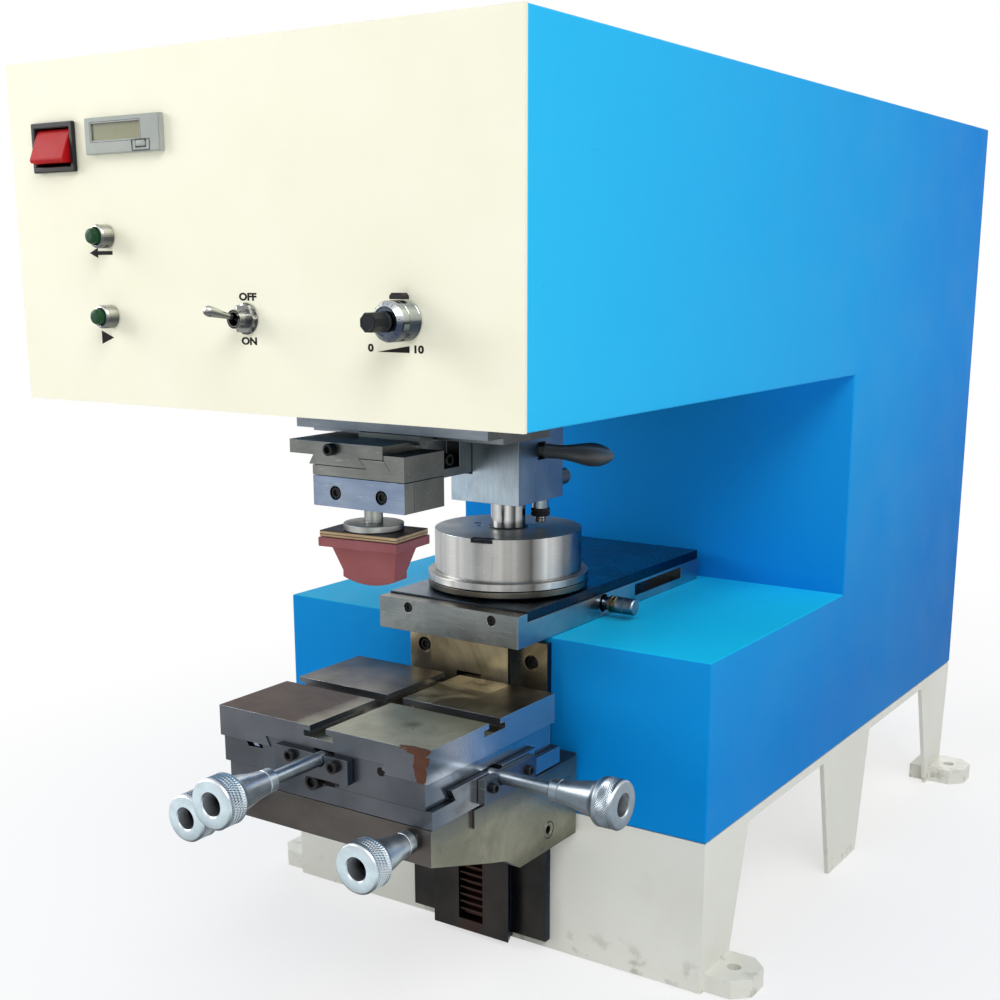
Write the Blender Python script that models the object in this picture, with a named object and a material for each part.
"""A desktop pad printing machine: one ink cup, one silicone pad and a three-way work table.

Frame while modelling: x to the right, y to the back with the front panel's face at y = 0, z up from
the ground. The machine empty then moves all of it, so that the origin is under the middle of the box.
"""

import math

import bmesh
import bpy
from mathutils import Vector

GAP = 0.0003
OVERRUN = 0.002
ROUND_SIDES = 32
SMALL_SIDES = 20

# Housing
BASE_HALF = 0.146
HEAD_OVERHANG = 0.009
HEAD_LEFT = -BASE_HALF - HEAD_OVERHANG
HEAD_RIGHT = BASE_HALF
HEAD_BOTTOM = 0.3272
HEAD_HEIGHT = 0.1603
HEAD_TOP = HEAD_BOTTOM + HEAD_HEIGHT
COLUMN_FRONT = 0.370
COLUMN_DEPTH = 0.246
DEPTH = COLUMN_FRONT + COLUMN_DEPTH
DECK_TOP = 0.1898
BASE_FRONT = 0.180
STAND_TOP = 0.0886
SHEET = 0.0025
PANEL_SHEET = 0.002
STAND_SHEET = 0.003

# Hand knobs, the same on all four screws
KNOB_LENGTH = 0.040
KNOB_RADIUS = 0.0126
KNOB_NECK_RADIUS = 0.0060
KNOB_WAIST_RADIUS = 0.0096
KNOB_RING_LENGTH = 0.005
KNOB_GRIP_LENGTH = 0.0135
KNOB_CHAMFER = 0.0012
KNOB_BORE_RADIUS = 0.0057
KNOB_BORE_DEPTH = 0.009
SCREW_RADIUS = 0.0036
SCREW_PLAY = 0.0004

# Work table
TABLE_OFFSET = -0.003
TABLE_HALF = 0.0685
TABLE_FRONT = 0.0394
TABLE_BACK = 0.155
TABLE_TOP = 0.1668
TABLE_BOTTOM = 0.1502
SADDLE_SIDE_INSET = 0.002
SADDLE_HALF = TABLE_HALF - SADDLE_SIDE_INSET
SADDLE_INSET = 0.0008
SADDLE_BOTTOM = 0.1363
TABLE_SCREW_X = 0.0
TABLE_SCREW_Z = 0.1515
TABLE_KNOB_NECK_Y = 0.001
CROSS_SCREW_Y = 0.095
CROSS_SCREW_Z = 0.1383
CROSS_KNOB_STAND_OFF = 0.035

# Knee
KNEE_TOP_HALF = 0.067
KNEE_SIDE_INSET = 0.001
KNEE_HALF = KNEE_TOP_HALF - KNEE_SIDE_INSET
CROSS_KNOB_NECK_X = KNEE_TOP_HALF + CROSS_KNOB_STAND_OFF
KNEE_FRONT = 0.041
KNEE_TOP = 0.126
KNEE_BOTTOM = 0.078
LIFT_KNOB_INSET = 0.012
LIFT_KNOB_X = KNEE_HALF - LIFT_KNOB_INSET
LOCK_KNOB_INSET = 0.0080
KNOB_PLACES = {1: LIFT_KNOB_X, -1: LOCK_KNOB_INSET - KNEE_HALF}
LIFT_KNOB_Z = 0.119
LIFT_KNOB_NECK_Y = 0.0385

# Upright guide on the base front
GUIDE_HALF = 0.048
GUIDE_FRONT = 0.175
BAR_FRONT = 0.167
BAR_HALF = 0.027
BAR_ROOT_HALF = 0.0235
GUIDE_BOTTOM = 0.006
GUIDE_TOP = 0.187
RACK_HALF = 0.0083
RACK_BOTTOM = 0.012
RACK_TOP = 0.162

# Gears of the lift and of the print slide
MODULE = 0.0015
BACKLASH = 0.0004
PRESSURE_ANGLE = math.radians(20)
PINION_TEETH = 24
WHEEL_TEETH = 20
SLIDE_PINION_TEETH = 20
WORM_PITCH_RADIUS = 0.0055
RACK_PITCH_Y = 0.1695

# Plate holder and ink cup
HOLDER_HALF = 0.0475
HOLDER_FRONT = 0.146
HOLDER_BACK = 0.3625
PLATE_TOP = 0.2095
PLATE_THICKNESS = 0.0055
CUP_Y = 0.208
CUP_RADIUS = 0.0430
CUP_TOP = 0.2440
RING_RADIUS = 0.0470
RING_HEIGHT = 0.0050
FLANGE_HEIGHT = 0.0042
CUP_SHAFT_RADIUS = 0.0117

# Print slide under the head
CARRIER_RIGHT = 0.023
CARRIER_LEFT = -0.0235
CARRIER_FRONT = 0.184
CARRIER_BACK = 0.231
CARRIER_BOTTOM = 0.261
CARRIER_STEP_Z = 0.277
WEB_RIGHT = -0.0088
SLIDE_PLATE_BOTTOM = 0.3057
LEVER_Z = 0.290
LEVER_PIVOT_X = 0.0175
ROD_X = 0.055
ROD_Z = 0.355
ROD_RADIUS = 0.007

# Pad head
PAD_Y = 0.084
PAD_FRONT = 0.072
PAD_BLOCK_HALF = 0.0295
PAD_BLOCK_BACK = 0.105
CLAMP_BOTTOM = 0.273
CLAMP_TOP = 0.2885
PAD_TIP = 0.233
STEM_RADIUS = 0.0048

INLET_FLANGE_THICKNESS = 0.003

ORIGIN_Y = (DEPTH + INLET_FLANGE_THICKNESS + TABLE_KNOB_NECK_Y - KNOB_LENGTH) / 2

# Colour, roughness and metallic value of each finish
LOOKS = {
    "blue paint": ((0.010, 0.250, 0.640), 0.35, 0.0),
    "cream paint": ((0.900, 0.880, 0.720), 0.45, 0.0),
    "stand paint": ((0.800, 0.790, 0.720), 0.45, 0.0),
    "ground steel": ((0.330, 0.330, 0.340), 0.38, 1.0),
    "dark steel": ((0.120, 0.120, 0.130), 0.45, 1.0),
    "bright steel": ((0.560, 0.570, 0.590), 0.22, 1.0),
    "aluminium": ((0.700, 0.710, 0.730), 0.30, 1.0),
    "black oxide": ((0.025, 0.025, 0.028), 0.45, 0.6),
    "silicone": ((0.420, 0.130, 0.150), 0.60, 0.0),
    "plywood": ((0.330, 0.170, 0.090), 0.60, 0.0),
    "black plastic": ((0.020, 0.020, 0.022), 0.40, 0.0),
    "red plastic": ((0.650, 0.020, 0.015), 0.30, 0.0),
    "grey plastic": ((0.550, 0.560, 0.540), 0.45, 0.0),
    "green plastic": ((0.010, 0.140, 0.050), 0.35, 0.0),
    "chrome": ((0.650, 0.650, 0.660), 0.10, 1.0),
    "board green": ((0.020, 0.170, 0.080), 0.50, 0.0),
}

PLACES = {}


def clear_scene():
    for obj in list(bpy.data.objects):
        bpy.data.objects.remove(obj, do_unlink=True)


def pivot(name, place, parent=None):
    """An empty on a joint's axis. Its place is in the modelling frame."""
    empty = bpy.data.objects.new(name, None)
    bpy.context.scene.collection.objects.link(empty)
    PLACES[name] = Vector(place)
    if parent:
        empty.parent = bpy.data.objects[parent]
        empty.location = PLACES[name] - PLACES[parent]
    else:
        empty.location = PLACES[name]
    return name


def finish(obj, look):
    colour, roughness, metallic = LOOKS[look]
    material = bpy.data.materials.new(obj.name)
    material.use_nodes = True
    shader = material.node_tree.nodes["Principled BSDF"]
    shader.inputs["Base Color"].default_value = (*colour, 1.0)
    shader.inputs["Roughness"].default_value = roughness
    shader.inputs["Metallic"].default_value = metallic
    obj.data.materials.append(material)


def solid(name, points, faces, on, look=None, smooth=False):
    """One mesh object on an empty, facing out. Without a look it is a cutter or a piece to be joined."""
    shift = PLACES[on]
    mesh = bpy.data.meshes.new(name)
    mesh.from_pydata([Vector(point) - shift for point in points], [], faces)
    sheet = bmesh.new()
    sheet.from_mesh(mesh)
    bmesh.ops.recalc_face_normals(sheet, faces=sheet.faces)
    sheet.to_mesh(mesh)
    sheet.free()
    if smooth:
        mesh.shade_smooth()
        mesh.set_sharp_from_angle(angle=math.radians(35))
    obj = bpy.data.objects.new(name, mesh)
    bpy.context.scene.collection.objects.link(obj)
    obj.parent = bpy.data.objects[on]
    if look:
        finish(obj, look)
    else:
        obj.hide_render = True
        obj.display_type = "WIRE"
    return obj


def soften(obj, width, segments=2):
    bevel = obj.modifiers.new("soft edges", "BEVEL")
    bevel.width = width
    bevel.segments = segments
    bevel.limit_method = "ANGLE"
    return obj


def box(name, low, high, on, look=None, edge=0):
    xs, ys, zs = zip(low, high)
    points = [(x, y, z) for x in xs for y in ys for z in zs]
    faces = [(0, 1, 3, 2), (4, 6, 7, 5), (0, 4, 5, 1), (2, 3, 7, 6), (0, 2, 6, 4), (1, 5, 7, 3)]
    obj = solid(name, points, faces, on, look)
    return soften(obj, edge) if edge else obj


def prism(name, outline, axis, low, high, on, look=None, edge=0, smooth=False):
    """An outline drawn across an axis and drawn out along it: (y, z) for x, (x, z) for y, (x, y) for z."""
    count = len(outline)

    def at(pair, along):
        first, second = pair
        return {"x": (along, first, second), "y": (first, along, second), "z": (first, second, along)}[axis]

    points = [at(pair, low) for pair in outline] + [at(pair, high) for pair in outline]
    faces = [tuple(range(count)), tuple(range(2 * count - 1, count - 1, -1))]
    faces += [(i, (i + 1) % count, (i + 1) % count + count, i + count) for i in range(count)]
    obj = solid(name, points, faces, on, look, smooth)
    return soften(obj, edge) if edge else obj


def turned(name, profile, axis, centre, on, look=None, sides=ROUND_SIDES, ring=False):
    """A profile of (radius, distance) pairs turned about an axis. A ring's profile is closed."""
    centre = Vector(centre)
    along, across, up = {
        "x": (Vector((1, 0, 0)), Vector((0, 1, 0)), Vector((0, 0, 1))),
        "y": (Vector((0, 1, 0)), Vector((1, 0, 0)), Vector((0, 0, 1))),
        "z": (Vector((0, 0, 1)), Vector((1, 0, 0)), Vector((0, 1, 0))),
    }[axis]
    points, rows = [], []
    for radius, distance in profile:
        start = len(points)
        if radius == 0:
            points.append(centre + along * distance)
            rows.append([start] * sides)
            continue
        for step in range(sides):
            angle = math.tau * step / sides
            spoke = across * math.cos(angle) + up * math.sin(angle)
            points.append(centre + along * distance + spoke * radius)
        rows.append(list(range(start, start + sides)))
    faces = []
    pairs = list(zip(rows, rows[1:] + rows[:1])) if ring else list(zip(rows, rows[1:]))
    for first, second in pairs:
        for step in range(sides):
            after = (step + 1) % sides
            corners = tuple(dict.fromkeys([first[step], first[after], second[after], second[step]]))
            if len(corners) > 2:
                faces.append(corners)
    return solid(name, points, faces, on, look, smooth=True)


def rod(name, radius, axis, centre, low, high, on, look=None, sides=ROUND_SIDES):
    return turned(name, [(0, low), (radius, low), (radius, high), (0, high)], axis, centre, on, look, sides)


def cut(obj, *cutters):
    for cutter in cutters:
        change = obj.modifiers.new(cutter.name, "BOOLEAN")
        change.operation = "DIFFERENCE"
        change.object = cutter
    return obj


def join(obj, *others):
    for other in others:
        change = obj.modifiers.new(other.name, "BOOLEAN")
        change.operation = "UNION"
        change.object = other
    return obj


def circle_points(radius, count, centre=(0, 0), start=0.0, end=math.tau):
    """Points round an arc, without the last one of a full circle."""
    full = abs(end - start - math.tau) < 1e-9
    steps = count if full else count - 1
    angles = [start + (end - start) * i / steps for i in range(count)]
    return [(centre[0] + radius * math.cos(a), centre[1] + radius * math.sin(a)) for a in angles]


def involute(angle):
    return math.tan(angle) - angle


ROOT_SHARE = 1.25
FLANK_SHARES = (0.0, 0.35, 0.7, 1.0)


def gear_outline(teeth, centre, first_tooth):
    """The outline of an involute gear with the middle of one tooth at the angle first_tooth."""
    pitch = MODULE * teeth / 2
    base = pitch * math.cos(PRESSURE_ANGLE)
    tip = pitch + MODULE
    root = pitch - MODULE * ROOT_SHARE
    half = math.pi / (2 * teeth) - BACKLASH / (2 * pitch)
    flank = []
    for share in FLANK_SHARES:
        radius = root + (tip - root) * share
        bend = involute(math.acos(min(1.0, base / radius)))
        flank.append((radius, half + involute(PRESSURE_ANGLE) - bend))
    outline = []
    for tooth in range(teeth):
        middle = first_tooth + math.tau * tooth / teeth
        turns = [(radius, middle - side) for radius, side in flank]
        turns += [(radius, middle + side) for radius, side in reversed(flank)]
        outline += [(centre[0] + r * math.cos(a), centre[1] + r * math.sin(a)) for r, a in turns]
    return outline


def rack_teeth(low, high, space_middle, pitch_line, side):
    """Corner points (along, depth) of rack teeth between low and high, with a tooth space at space_middle.

    side is +1 where the teeth point to lower depth values and -1 where they point to higher ones.
    """
    pitch = math.pi * MODULE
    slope = math.tan(PRESSURE_ANGLE)
    tip = pitch_line - side * MODULE
    root = pitch_line + side * MODULE * ROOT_SHARE
    half = pitch / 4 - BACKLASH / 2
    narrow = half - MODULE * slope
    wide = half + MODULE * ROOT_SHARE * slope
    first = math.ceil((low + wide - space_middle) / pitch - 0.5)
    last = math.floor((high - wide - space_middle) / pitch - 0.5)
    corners = []
    for tooth in range(first, last + 1):
        middle = space_middle + (tooth + 0.5) * pitch
        corners += [(middle - wide, root), (middle - narrow, tip), (middle + narrow, tip),
                    (middle + wide, root)]
    return corners, root


# Sheet metal housing


def housing():
    inside = PANEL_SHEET + GAP
    back = DEPTH - SHEET - GAP
    floor = STAND_TOP + GAP
    inner_top = HEAD_TOP - SHEET
    left, right = HEAD_LEFT + SHEET, HEAD_RIGHT - SHEET
    hood = [(HEAD_LEFT, HEAD_BOTTOM), (left, HEAD_BOTTOM), (left, inner_top), (right, inner_top)]
    hood += [(right, HEAD_BOTTOM), (HEAD_RIGHT, HEAD_BOTTOM), (HEAD_RIGHT, HEAD_TOP), (HEAD_LEFT, HEAD_TOP)]
    prism("head_cover", hood, "y", inside, back, "machine", "blue paint")
    head_floor()
    under = HEAD_BOTTOM - GAP
    flank = [(COLUMN_FRONT, under), (COLUMN_FRONT, DECK_TOP), (BASE_FRONT, DECK_TOP), (BASE_FRONT, floor)]
    flank += [(back, floor), (back, under)]
    prism("body_side_right", flank, "x", BASE_HALF - SHEET, BASE_HALF, "machine", "blue paint")
    prism("body_side_left", flank, "x", -BASE_HALF, SHEET - BASE_HALF, "machine", "blue paint")
    lip, wall = BASE_FRONT + SHEET, COLUMN_FRONT + SHEET
    bent = [(BASE_FRONT, floor), (lip, floor), (lip, DECK_TOP - SHEET), (wall, DECK_TOP - SHEET),
            (wall, under)]
    bent += [(COLUMN_FRONT, under), (COLUMN_FRONT, DECK_TOP), (BASE_FRONT, DECK_TOP)]
    half = BASE_HALF - SHEET - GAP
    prism("body_front", bent, "x", -half, half, "machine", "blue paint")


FLOOR_SLOT_HALF = 0.072
FLOOR_SLOT_FRONT = 0.088
FLOOR_WINDOW_INSET = 0.036
FLOOR_WINDOW_HALF = BASE_HALF - FLOOR_WINDOW_INSET
FLOOR_WINDOW_BACK = 0.030


def head_floor():
    left = HEAD_LEFT + SHEET + GAP
    right = HEAD_RIGHT - SHEET - GAP
    inside = PANEL_SHEET + GAP
    rear = DEPTH - SHEET - GAP
    half = FLOOR_SLOT_HALF
    outline = [(left, inside), (right, inside), (right, rear), (left, rear)]
    floor = prism("head_floor", outline, "z", HEAD_BOTTOM, HEAD_BOTTOM + SHEET, "machine", "blue paint")
    cut(floor, box("cut_floor_slot", (-half, FLOOR_SLOT_FRONT, HEAD_BOTTOM - OVERRUN),
                   (half, COLUMN_FRONT - SHEET, HEAD_BOTTOM + SHEET + OVERRUN), "machine"))
    cut(floor, box("cut_floor_window", (-FLOOR_WINDOW_HALF, COLUMN_FRONT + SHEET * 2,
                                        HEAD_BOTTOM - OVERRUN),
                   (FLOOR_WINDOW_HALF, rear - FLOOR_WINDOW_BACK, HEAD_BOTTOM + SHEET + OVERRUN), "machine"))


VENT_COUNT = 9
VENT_LENGTH = 0.120
VENT_WIDTH = 0.005
VENT_PITCH = 0.011
VENT_BOTTOM = 0.365
INLET_INSET = 0.051
INLET_X = BASE_HALF - INLET_INSET
INLET_Z = 0.120
INLET_HALF_WIDTH = 0.0135
INLET_HALF_HEIGHT = 0.0098
INLET_FLANGE = 0.005
INLET_DEPTH = 0.022


def rear_cover():
    low = DEPTH - SHEET
    outline = [(-BASE_HALF, STAND_TOP + GAP), (BASE_HALF, STAND_TOP + GAP), (BASE_HALF, HEAD_TOP),
               (HEAD_LEFT, HEAD_TOP)]
    outline += [(HEAD_LEFT, HEAD_BOTTOM), (-BASE_HALF, HEAD_BOTTOM)]
    cover = prism("rear_cover", outline, "y", low, DEPTH, "machine", "blue paint")
    for row in range(VENT_COUNT):
        z = VENT_BOTTOM + row * VENT_PITCH
        ends = circle_points(VENT_WIDTH / 2, 7, (VENT_LENGTH / 2, z), -math.pi / 2, math.pi / 2)
        ends += circle_points(VENT_WIDTH / 2, 7, (-VENT_LENGTH / 2, z), math.pi / 2, 3 * math.pi / 2)
        cut(cover, prism(f"cut_vent_{row}", ends, "y", low - OVERRUN, DEPTH + OVERRUN, "machine"))
    hole_low = (INLET_X - INLET_HALF_WIDTH - GAP, low - OVERRUN, INLET_Z - INLET_HALF_HEIGHT - GAP)
    hole_high = (INLET_X + INLET_HALF_WIDTH + GAP, DEPTH + OVERRUN, INLET_Z + INLET_HALF_HEIGHT + GAP)
    cut(cover, box("cut_inlet_hole", hole_low, hole_high, "machine"))


INLET_WALL = 0.0025
INLET_PIN_RADIUS = 0.0014
INLET_PIN_SPACING = 0.007


def power_inlet():
    face = DEPTH + INLET_FLANGE_THICKNESS
    low = (INLET_X - INLET_HALF_WIDTH, DEPTH - INLET_DEPTH, INLET_Z - INLET_HALF_HEIGHT)
    high = (INLET_X + INLET_HALF_WIDTH, DEPTH + INLET_FLANGE_THICKNESS / 2, INLET_Z + INLET_HALF_HEIGHT)
    inlet = box("power_inlet", low, high, "machine", "black plastic")
    flange_low = (low[0] - INLET_FLANGE, DEPTH + GAP, low[2] - INLET_FLANGE)
    flange_high = (high[0] + INLET_FLANGE, face, high[2] + INLET_FLANGE)
    join(inlet, box("join_inlet_flange", flange_low, flange_high, "machine"))
    pocket_low = (low[0] + INLET_WALL, low[1] + INLET_WALL, low[2] + INLET_WALL)
    pocket_high = (high[0] - INLET_WALL, face + OVERRUN, high[2] - INLET_WALL)
    cut(inlet, box("cut_inlet_pocket", pocket_low, pocket_high, "machine"))
    for step in (-1, 0, 1):
        centre = (INLET_X + step * INLET_PIN_SPACING, 0, INLET_Z)
        pin = rod(f"join_inlet_pin_{step + 1}", INLET_PIN_RADIUS, "y", centre, low[1] + INLET_WALL / 2,
                  DEPTH - INLET_WALL, "machine", None, 10)
        join(inlet, pin)


# Stand

BAND_BOTTOM = 0.083
FRONT_LEG_TOP = 0.237
FRONT_LEG_FOOT = 0.213
MIDDLE_LEG_Y = (BASE_FRONT + DEPTH) / 2
MIDDLE_LEG_TOP_FRONT = 0.0465
MIDDLE_LEG_TOP_BACK = 0.0378
MIDDLE_LEG_FOOT_FRONT = 0.027
MIDDLE_LEG_FOOT_BACK = 0.022
REAR_LEG_TOP_INSET = 0.068
REAR_LEG_FOOT_INSET = 0.041
REAR_LEG_BACK_INSET = 0.010
REAR_LEG_BACK = DEPTH - REAR_LEG_BACK_INSET
REAR_LEG_SQUARE = 0.010
STAND_BACK_INSET = 0.002
STAND_BACK = DEPTH - STAND_BACK_INSET
LUG_THICKNESS = 0.011
LUG_REACH = 0.025
LUG_INNER = 0.015
LUG_LENGTH = 0.033
LUG_CORNER = 0.009
LUG_SETBACK = 0.004
LUG_HOLE_RADIUS = 0.004
LUG_HOLE_REACH = 0.0102


def stand():
    top = STAND_TOP
    half = BASE_HALF - STAND_SHEET / 2
    front = BASE_FRONT + STAND_SHEET / 2
    back = STAND_BACK - STAND_SHEET / 2
    casting = box("stand", (-half, BASE_FRONT, 0), (half, BASE_FRONT + STAND_SHEET, top), "machine",
                  "stand paint")
    rear_low = (-half, STAND_BACK - STAND_SHEET, BAND_BOTTOM - LUG_INNER)
    join(casting, box("join_stand_rear", rear_low, (half, STAND_BACK, top), "machine"))
    join(casting, box("join_stand_web", (-half, front, BAND_BOTTOM), (half, back, top - STAND_SHEET / 2),
                      "machine"))
    comb = [(BASE_FRONT, top), (BASE_FRONT, 0), (FRONT_LEG_FOOT, 0), (FRONT_LEG_TOP, BAND_BOTTOM)]
    comb += [(MIDDLE_LEG_Y - MIDDLE_LEG_TOP_FRONT, BAND_BOTTOM), (MIDDLE_LEG_Y - MIDDLE_LEG_FOOT_FRONT, 0)]
    comb += [(MIDDLE_LEG_Y + MIDDLE_LEG_FOOT_BACK, 0), (MIDDLE_LEG_Y + MIDDLE_LEG_TOP_BACK, BAND_BOTTOM)]
    comb += [(DEPTH - REAR_LEG_TOP_INSET, BAND_BOTTOM), (DEPTH - REAR_LEG_FOOT_INSET, 0)]
    comb += [(REAR_LEG_BACK, 0), (STAND_BACK, top - REAR_LEG_SQUARE), (STAND_BACK, top)]
    places = (("front", BASE_FRONT + LUG_SETBACK), ("rear", REAR_LEG_BACK - LUG_LENGTH + LUG_SETBACK * 2))
    for side, word in ((1, "right"), (-1, "left")):
        low, high = sorted((side * BASE_HALF, side * (BASE_HALF - STAND_SHEET)))
        join(casting, prism(f"join_stand_{word}", comb, "x", low, high, "machine"))
        for end, place in places:
            join(casting, lug(f"{end}_{word}", side, place))
            hole = (side * (BASE_HALF + LUG_HOLE_REACH), place + LUG_LENGTH / 2, 0)
            cut(casting, rod(f"cut_lug_{end}_{word}", LUG_HOLE_RADIUS, "z", hole, -OVERRUN,
                             LUG_THICKNESS + OVERRUN, "machine", None, SMALL_SIDES))


def lug(word, side, start):
    outer = BASE_HALF + LUG_REACH
    end = start + LUG_LENGTH
    outline = [(BASE_HALF - LUG_INNER, start), (outer - LUG_CORNER, start), (outer, start + LUG_CORNER)]
    outline += [(outer, end - LUG_CORNER), (outer - LUG_CORNER, end), (BASE_HALF - LUG_INNER, end)]
    outline = [(side * x, y) for x, y in outline]
    return prism(f"join_lug_{word}", outline, "z", 0, LUG_THICKNESS, "machine")


# Front panel and its controls

ROCKER_INSET = 0.033
ROCKER_DROP = 0.0397
ROCKER_X = HEAD_LEFT + ROCKER_INSET
ROCKER_Z = HEAD_TOP - ROCKER_DROP
ROCKER_HALF_WIDTH = 0.015
ROCKER_HALF_HEIGHT = 0.0115
ROCKER_RIM = 0.0028
ROCKER_PROUD = 0.0025
ROCKER_DEPTH = 0.018
ROCKER_POCKET_DEPTH = 0.012
ROCKER_TIP_OUT = 0.0065
ROCKER_TIP_HALF = 0.0072
ROCKER_BACK_HALF = 0.005
ROCKER_BACK = 0.003
ROCKER_MIDDLE_OUT = 0.0032
ROCKER_SHALLOW_OUT = 0.001

COUNTER_INSET = 0.0825
COUNTER_DROP = 0.0361
COUNTER_X = HEAD_LEFT + COUNTER_INSET
COUNTER_Z = HEAD_TOP - COUNTER_DROP
COUNTER_HALF_WIDTH = 0.0249
COUNTER_HALF_HEIGHT = 0.0082
COUNTER_PROUD = 0.003
COUNTER_BODY_INSET = 0.0018
COUNTER_DEPTH = 0.026
WINDOW_INSET = 0.004
WINDOW_BOTTOM_INSET = 0.0062
WINDOW_DEPTH = 0.0006
RESET_X = 0.0125
RESET_Z = -0.0045
RESET_HALF_WIDTH = 0.0030
RESET_HALF_HEIGHT = 0.0014
RESET_PROUD = 0.001
RESET_DEPTH = 0.0014

BUTTON_INSET = 0.0650
REVERSE_DROP = 0.0813
START_DROP = 0.1185
BUTTON_X = HEAD_LEFT + BUTTON_INSET
REVERSE_Z = HEAD_TOP - REVERSE_DROP
START_Z = HEAD_TOP - START_DROP
BEZEL_RADIUS = 0.0055
BEZEL_EDGE = 0.0012
BEZEL_PROUD = 0.0075
BEZEL_BARREL_RADIUS = 0.0047
BEZEL_BARREL_LENGTH = 0.018
BEZEL_BORE_RADIUS = 0.0040
BEZEL_BORE_DEPTH = 0.006
CAP_RADIUS = 0.0036
CAP_PROUD = 0.0035
CAP_DEPTH = 0.002
CAP_EDGE = 0.0006

TOGGLE_OFFSET = 0.0029
TOGGLE_DROP = 0.1180
TOGGLE_X = (HEAD_LEFT + HEAD_RIGHT) / 2 + TOGGLE_OFFSET
TOGGLE_Z = HEAD_TOP - TOGGLE_DROP
TOGGLE_NUT_RADIUS = 0.0068
TOGGLE_NUT_THICKNESS = 0.003
TOGGLE_BUSH_RADIUS = 0.0042
TOGGLE_BUSH_LENGTH = 0.0085
TOGGLE_BORE_RADIUS = 0.0031
TOGGLE_PIVOT_Y = -0.005
TOGGLE_BODY_HALF = 0.0065
TOGGLE_BODY_DEPTH = 0.016
TOGGLE_BALL_RADIUS = 0.0023
TOGGLE_STEM_RADIUS = 0.0013
TOGGLE_TIP_RADIUS = 0.0024
TOGGLE_LEVER_LENGTH = 0.021
TOGGLE_TILT = math.radians(12)
BALL_NECK_SHARE = 1.05

DIAL_INSET = 0.0580
DIAL_DROP = 0.1172
DIAL_X = HEAD_RIGHT - DIAL_INSET
DIAL_Z = HEAD_TOP - DIAL_DROP
DIAL_RADIUS = 0.0084
DIAL_PROUD = 0.0142
DIAL_CONE_RADIUS = 0.0062
DIAL_CONE_LENGTH = 0.0018
DIAL_BARREL_RADIUS = 0.0045
DIAL_CAN_RADIUS = 0.0080
DIAL_CAN_LENGTH = 0.018
DIAL_GRIP_RADIUS = 0.0043
DIAL_GRIP_LENGTH = 0.0113
DIAL_CHAMFER = 0.0022
DIAL_LOCK_HALF = 0.0035
DIAL_LOCK_LENGTH = 0.0045
DIAL_LOCK_HEIGHT = 0.0026


def front_panel():
    panel = box("front_panel", (HEAD_LEFT, 0, HEAD_BOTTOM), (HEAD_RIGHT, PANEL_SHEET, HEAD_TOP),
                "machine", "cream paint")
    holes = [("rocker", ROCKER_X, ROCKER_Z, ROCKER_HALF_WIDTH - ROCKER_RIM / 2,
              ROCKER_HALF_HEIGHT - ROCKER_RIM / 2)]
    holes.append(("counter", COUNTER_X, COUNTER_Z, COUNTER_HALF_WIDTH - COUNTER_BODY_INSET,
                  COUNTER_HALF_HEIGHT - COUNTER_BODY_INSET))
    for word, x, z, width, height in holes:
        low = (x - width - GAP, -OVERRUN, z - height - GAP)
        cut(panel, box(f"cut_{word}_hole", low, (x + width + GAP, OVERRUN + PANEL_SHEET, z + height + GAP),
                       "machine"))
    rounds = [("reverse", BUTTON_X, REVERSE_Z, BEZEL_BARREL_RADIUS),
              ("start", BUTTON_X, START_Z, BEZEL_BARREL_RADIUS)]
    rounds += [("toggle", TOGGLE_X, TOGGLE_Z, TOGGLE_BUSH_RADIUS),
               ("dial", DIAL_X, DIAL_Z, DIAL_BARREL_RADIUS)]
    for word, x, z, radius in rounds:
        cut(panel, rod(f"cut_{word}_hole", radius + GAP, "y", (x, 0, z), -OVERRUN, PANEL_SHEET + OVERRUN,
                       "machine", None, SMALL_SIDES))


def rocker_switch():
    face = -ROCKER_PROUD
    frame = box("rocker_frame", (ROCKER_X - ROCKER_HALF_WIDTH, face, ROCKER_Z - ROCKER_HALF_HEIGHT),
                (ROCKER_X + ROCKER_HALF_WIDTH, -GAP, ROCKER_Z + ROCKER_HALF_HEIGHT), "machine",
                "black plastic")
    width = ROCKER_HALF_WIDTH - ROCKER_RIM / 2
    height = ROCKER_HALF_HEIGHT - ROCKER_RIM / 2
    join(frame, box("join_rocker_body", (ROCKER_X - width, face / 2, ROCKER_Z - height),
                    (ROCKER_X + width, ROCKER_DEPTH, ROCKER_Z + height), "machine"))
    inner = ROCKER_HALF_WIDTH - ROCKER_RIM
    tall = ROCKER_HALF_HEIGHT - ROCKER_RIM
    cut(frame, box("cut_rocker_pocket", (ROCKER_X - inner, face - OVERRUN, ROCKER_Z - tall),
                   (ROCKER_X + inner, ROCKER_POCKET_DEPTH, ROCKER_Z + tall), "machine"))
    pivot("rocker_pivot", (ROCKER_X, 0, ROCKER_Z), "machine")
    outline = [(-ROCKER_TIP_OUT, ROCKER_Z - ROCKER_TIP_HALF), (-ROCKER_MIDDLE_OUT, ROCKER_Z)]
    outline += [(-ROCKER_SHALLOW_OUT, ROCKER_Z + ROCKER_TIP_HALF),
                (ROCKER_BACK, ROCKER_Z + ROCKER_BACK_HALF)]
    outline += [(ROCKER_BACK, ROCKER_Z - ROCKER_BACK_HALF)]
    prism("rocker", outline, "x", ROCKER_X - inner + GAP, ROCKER_X + inner - GAP, "rocker_pivot",
          "red plastic")


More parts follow.
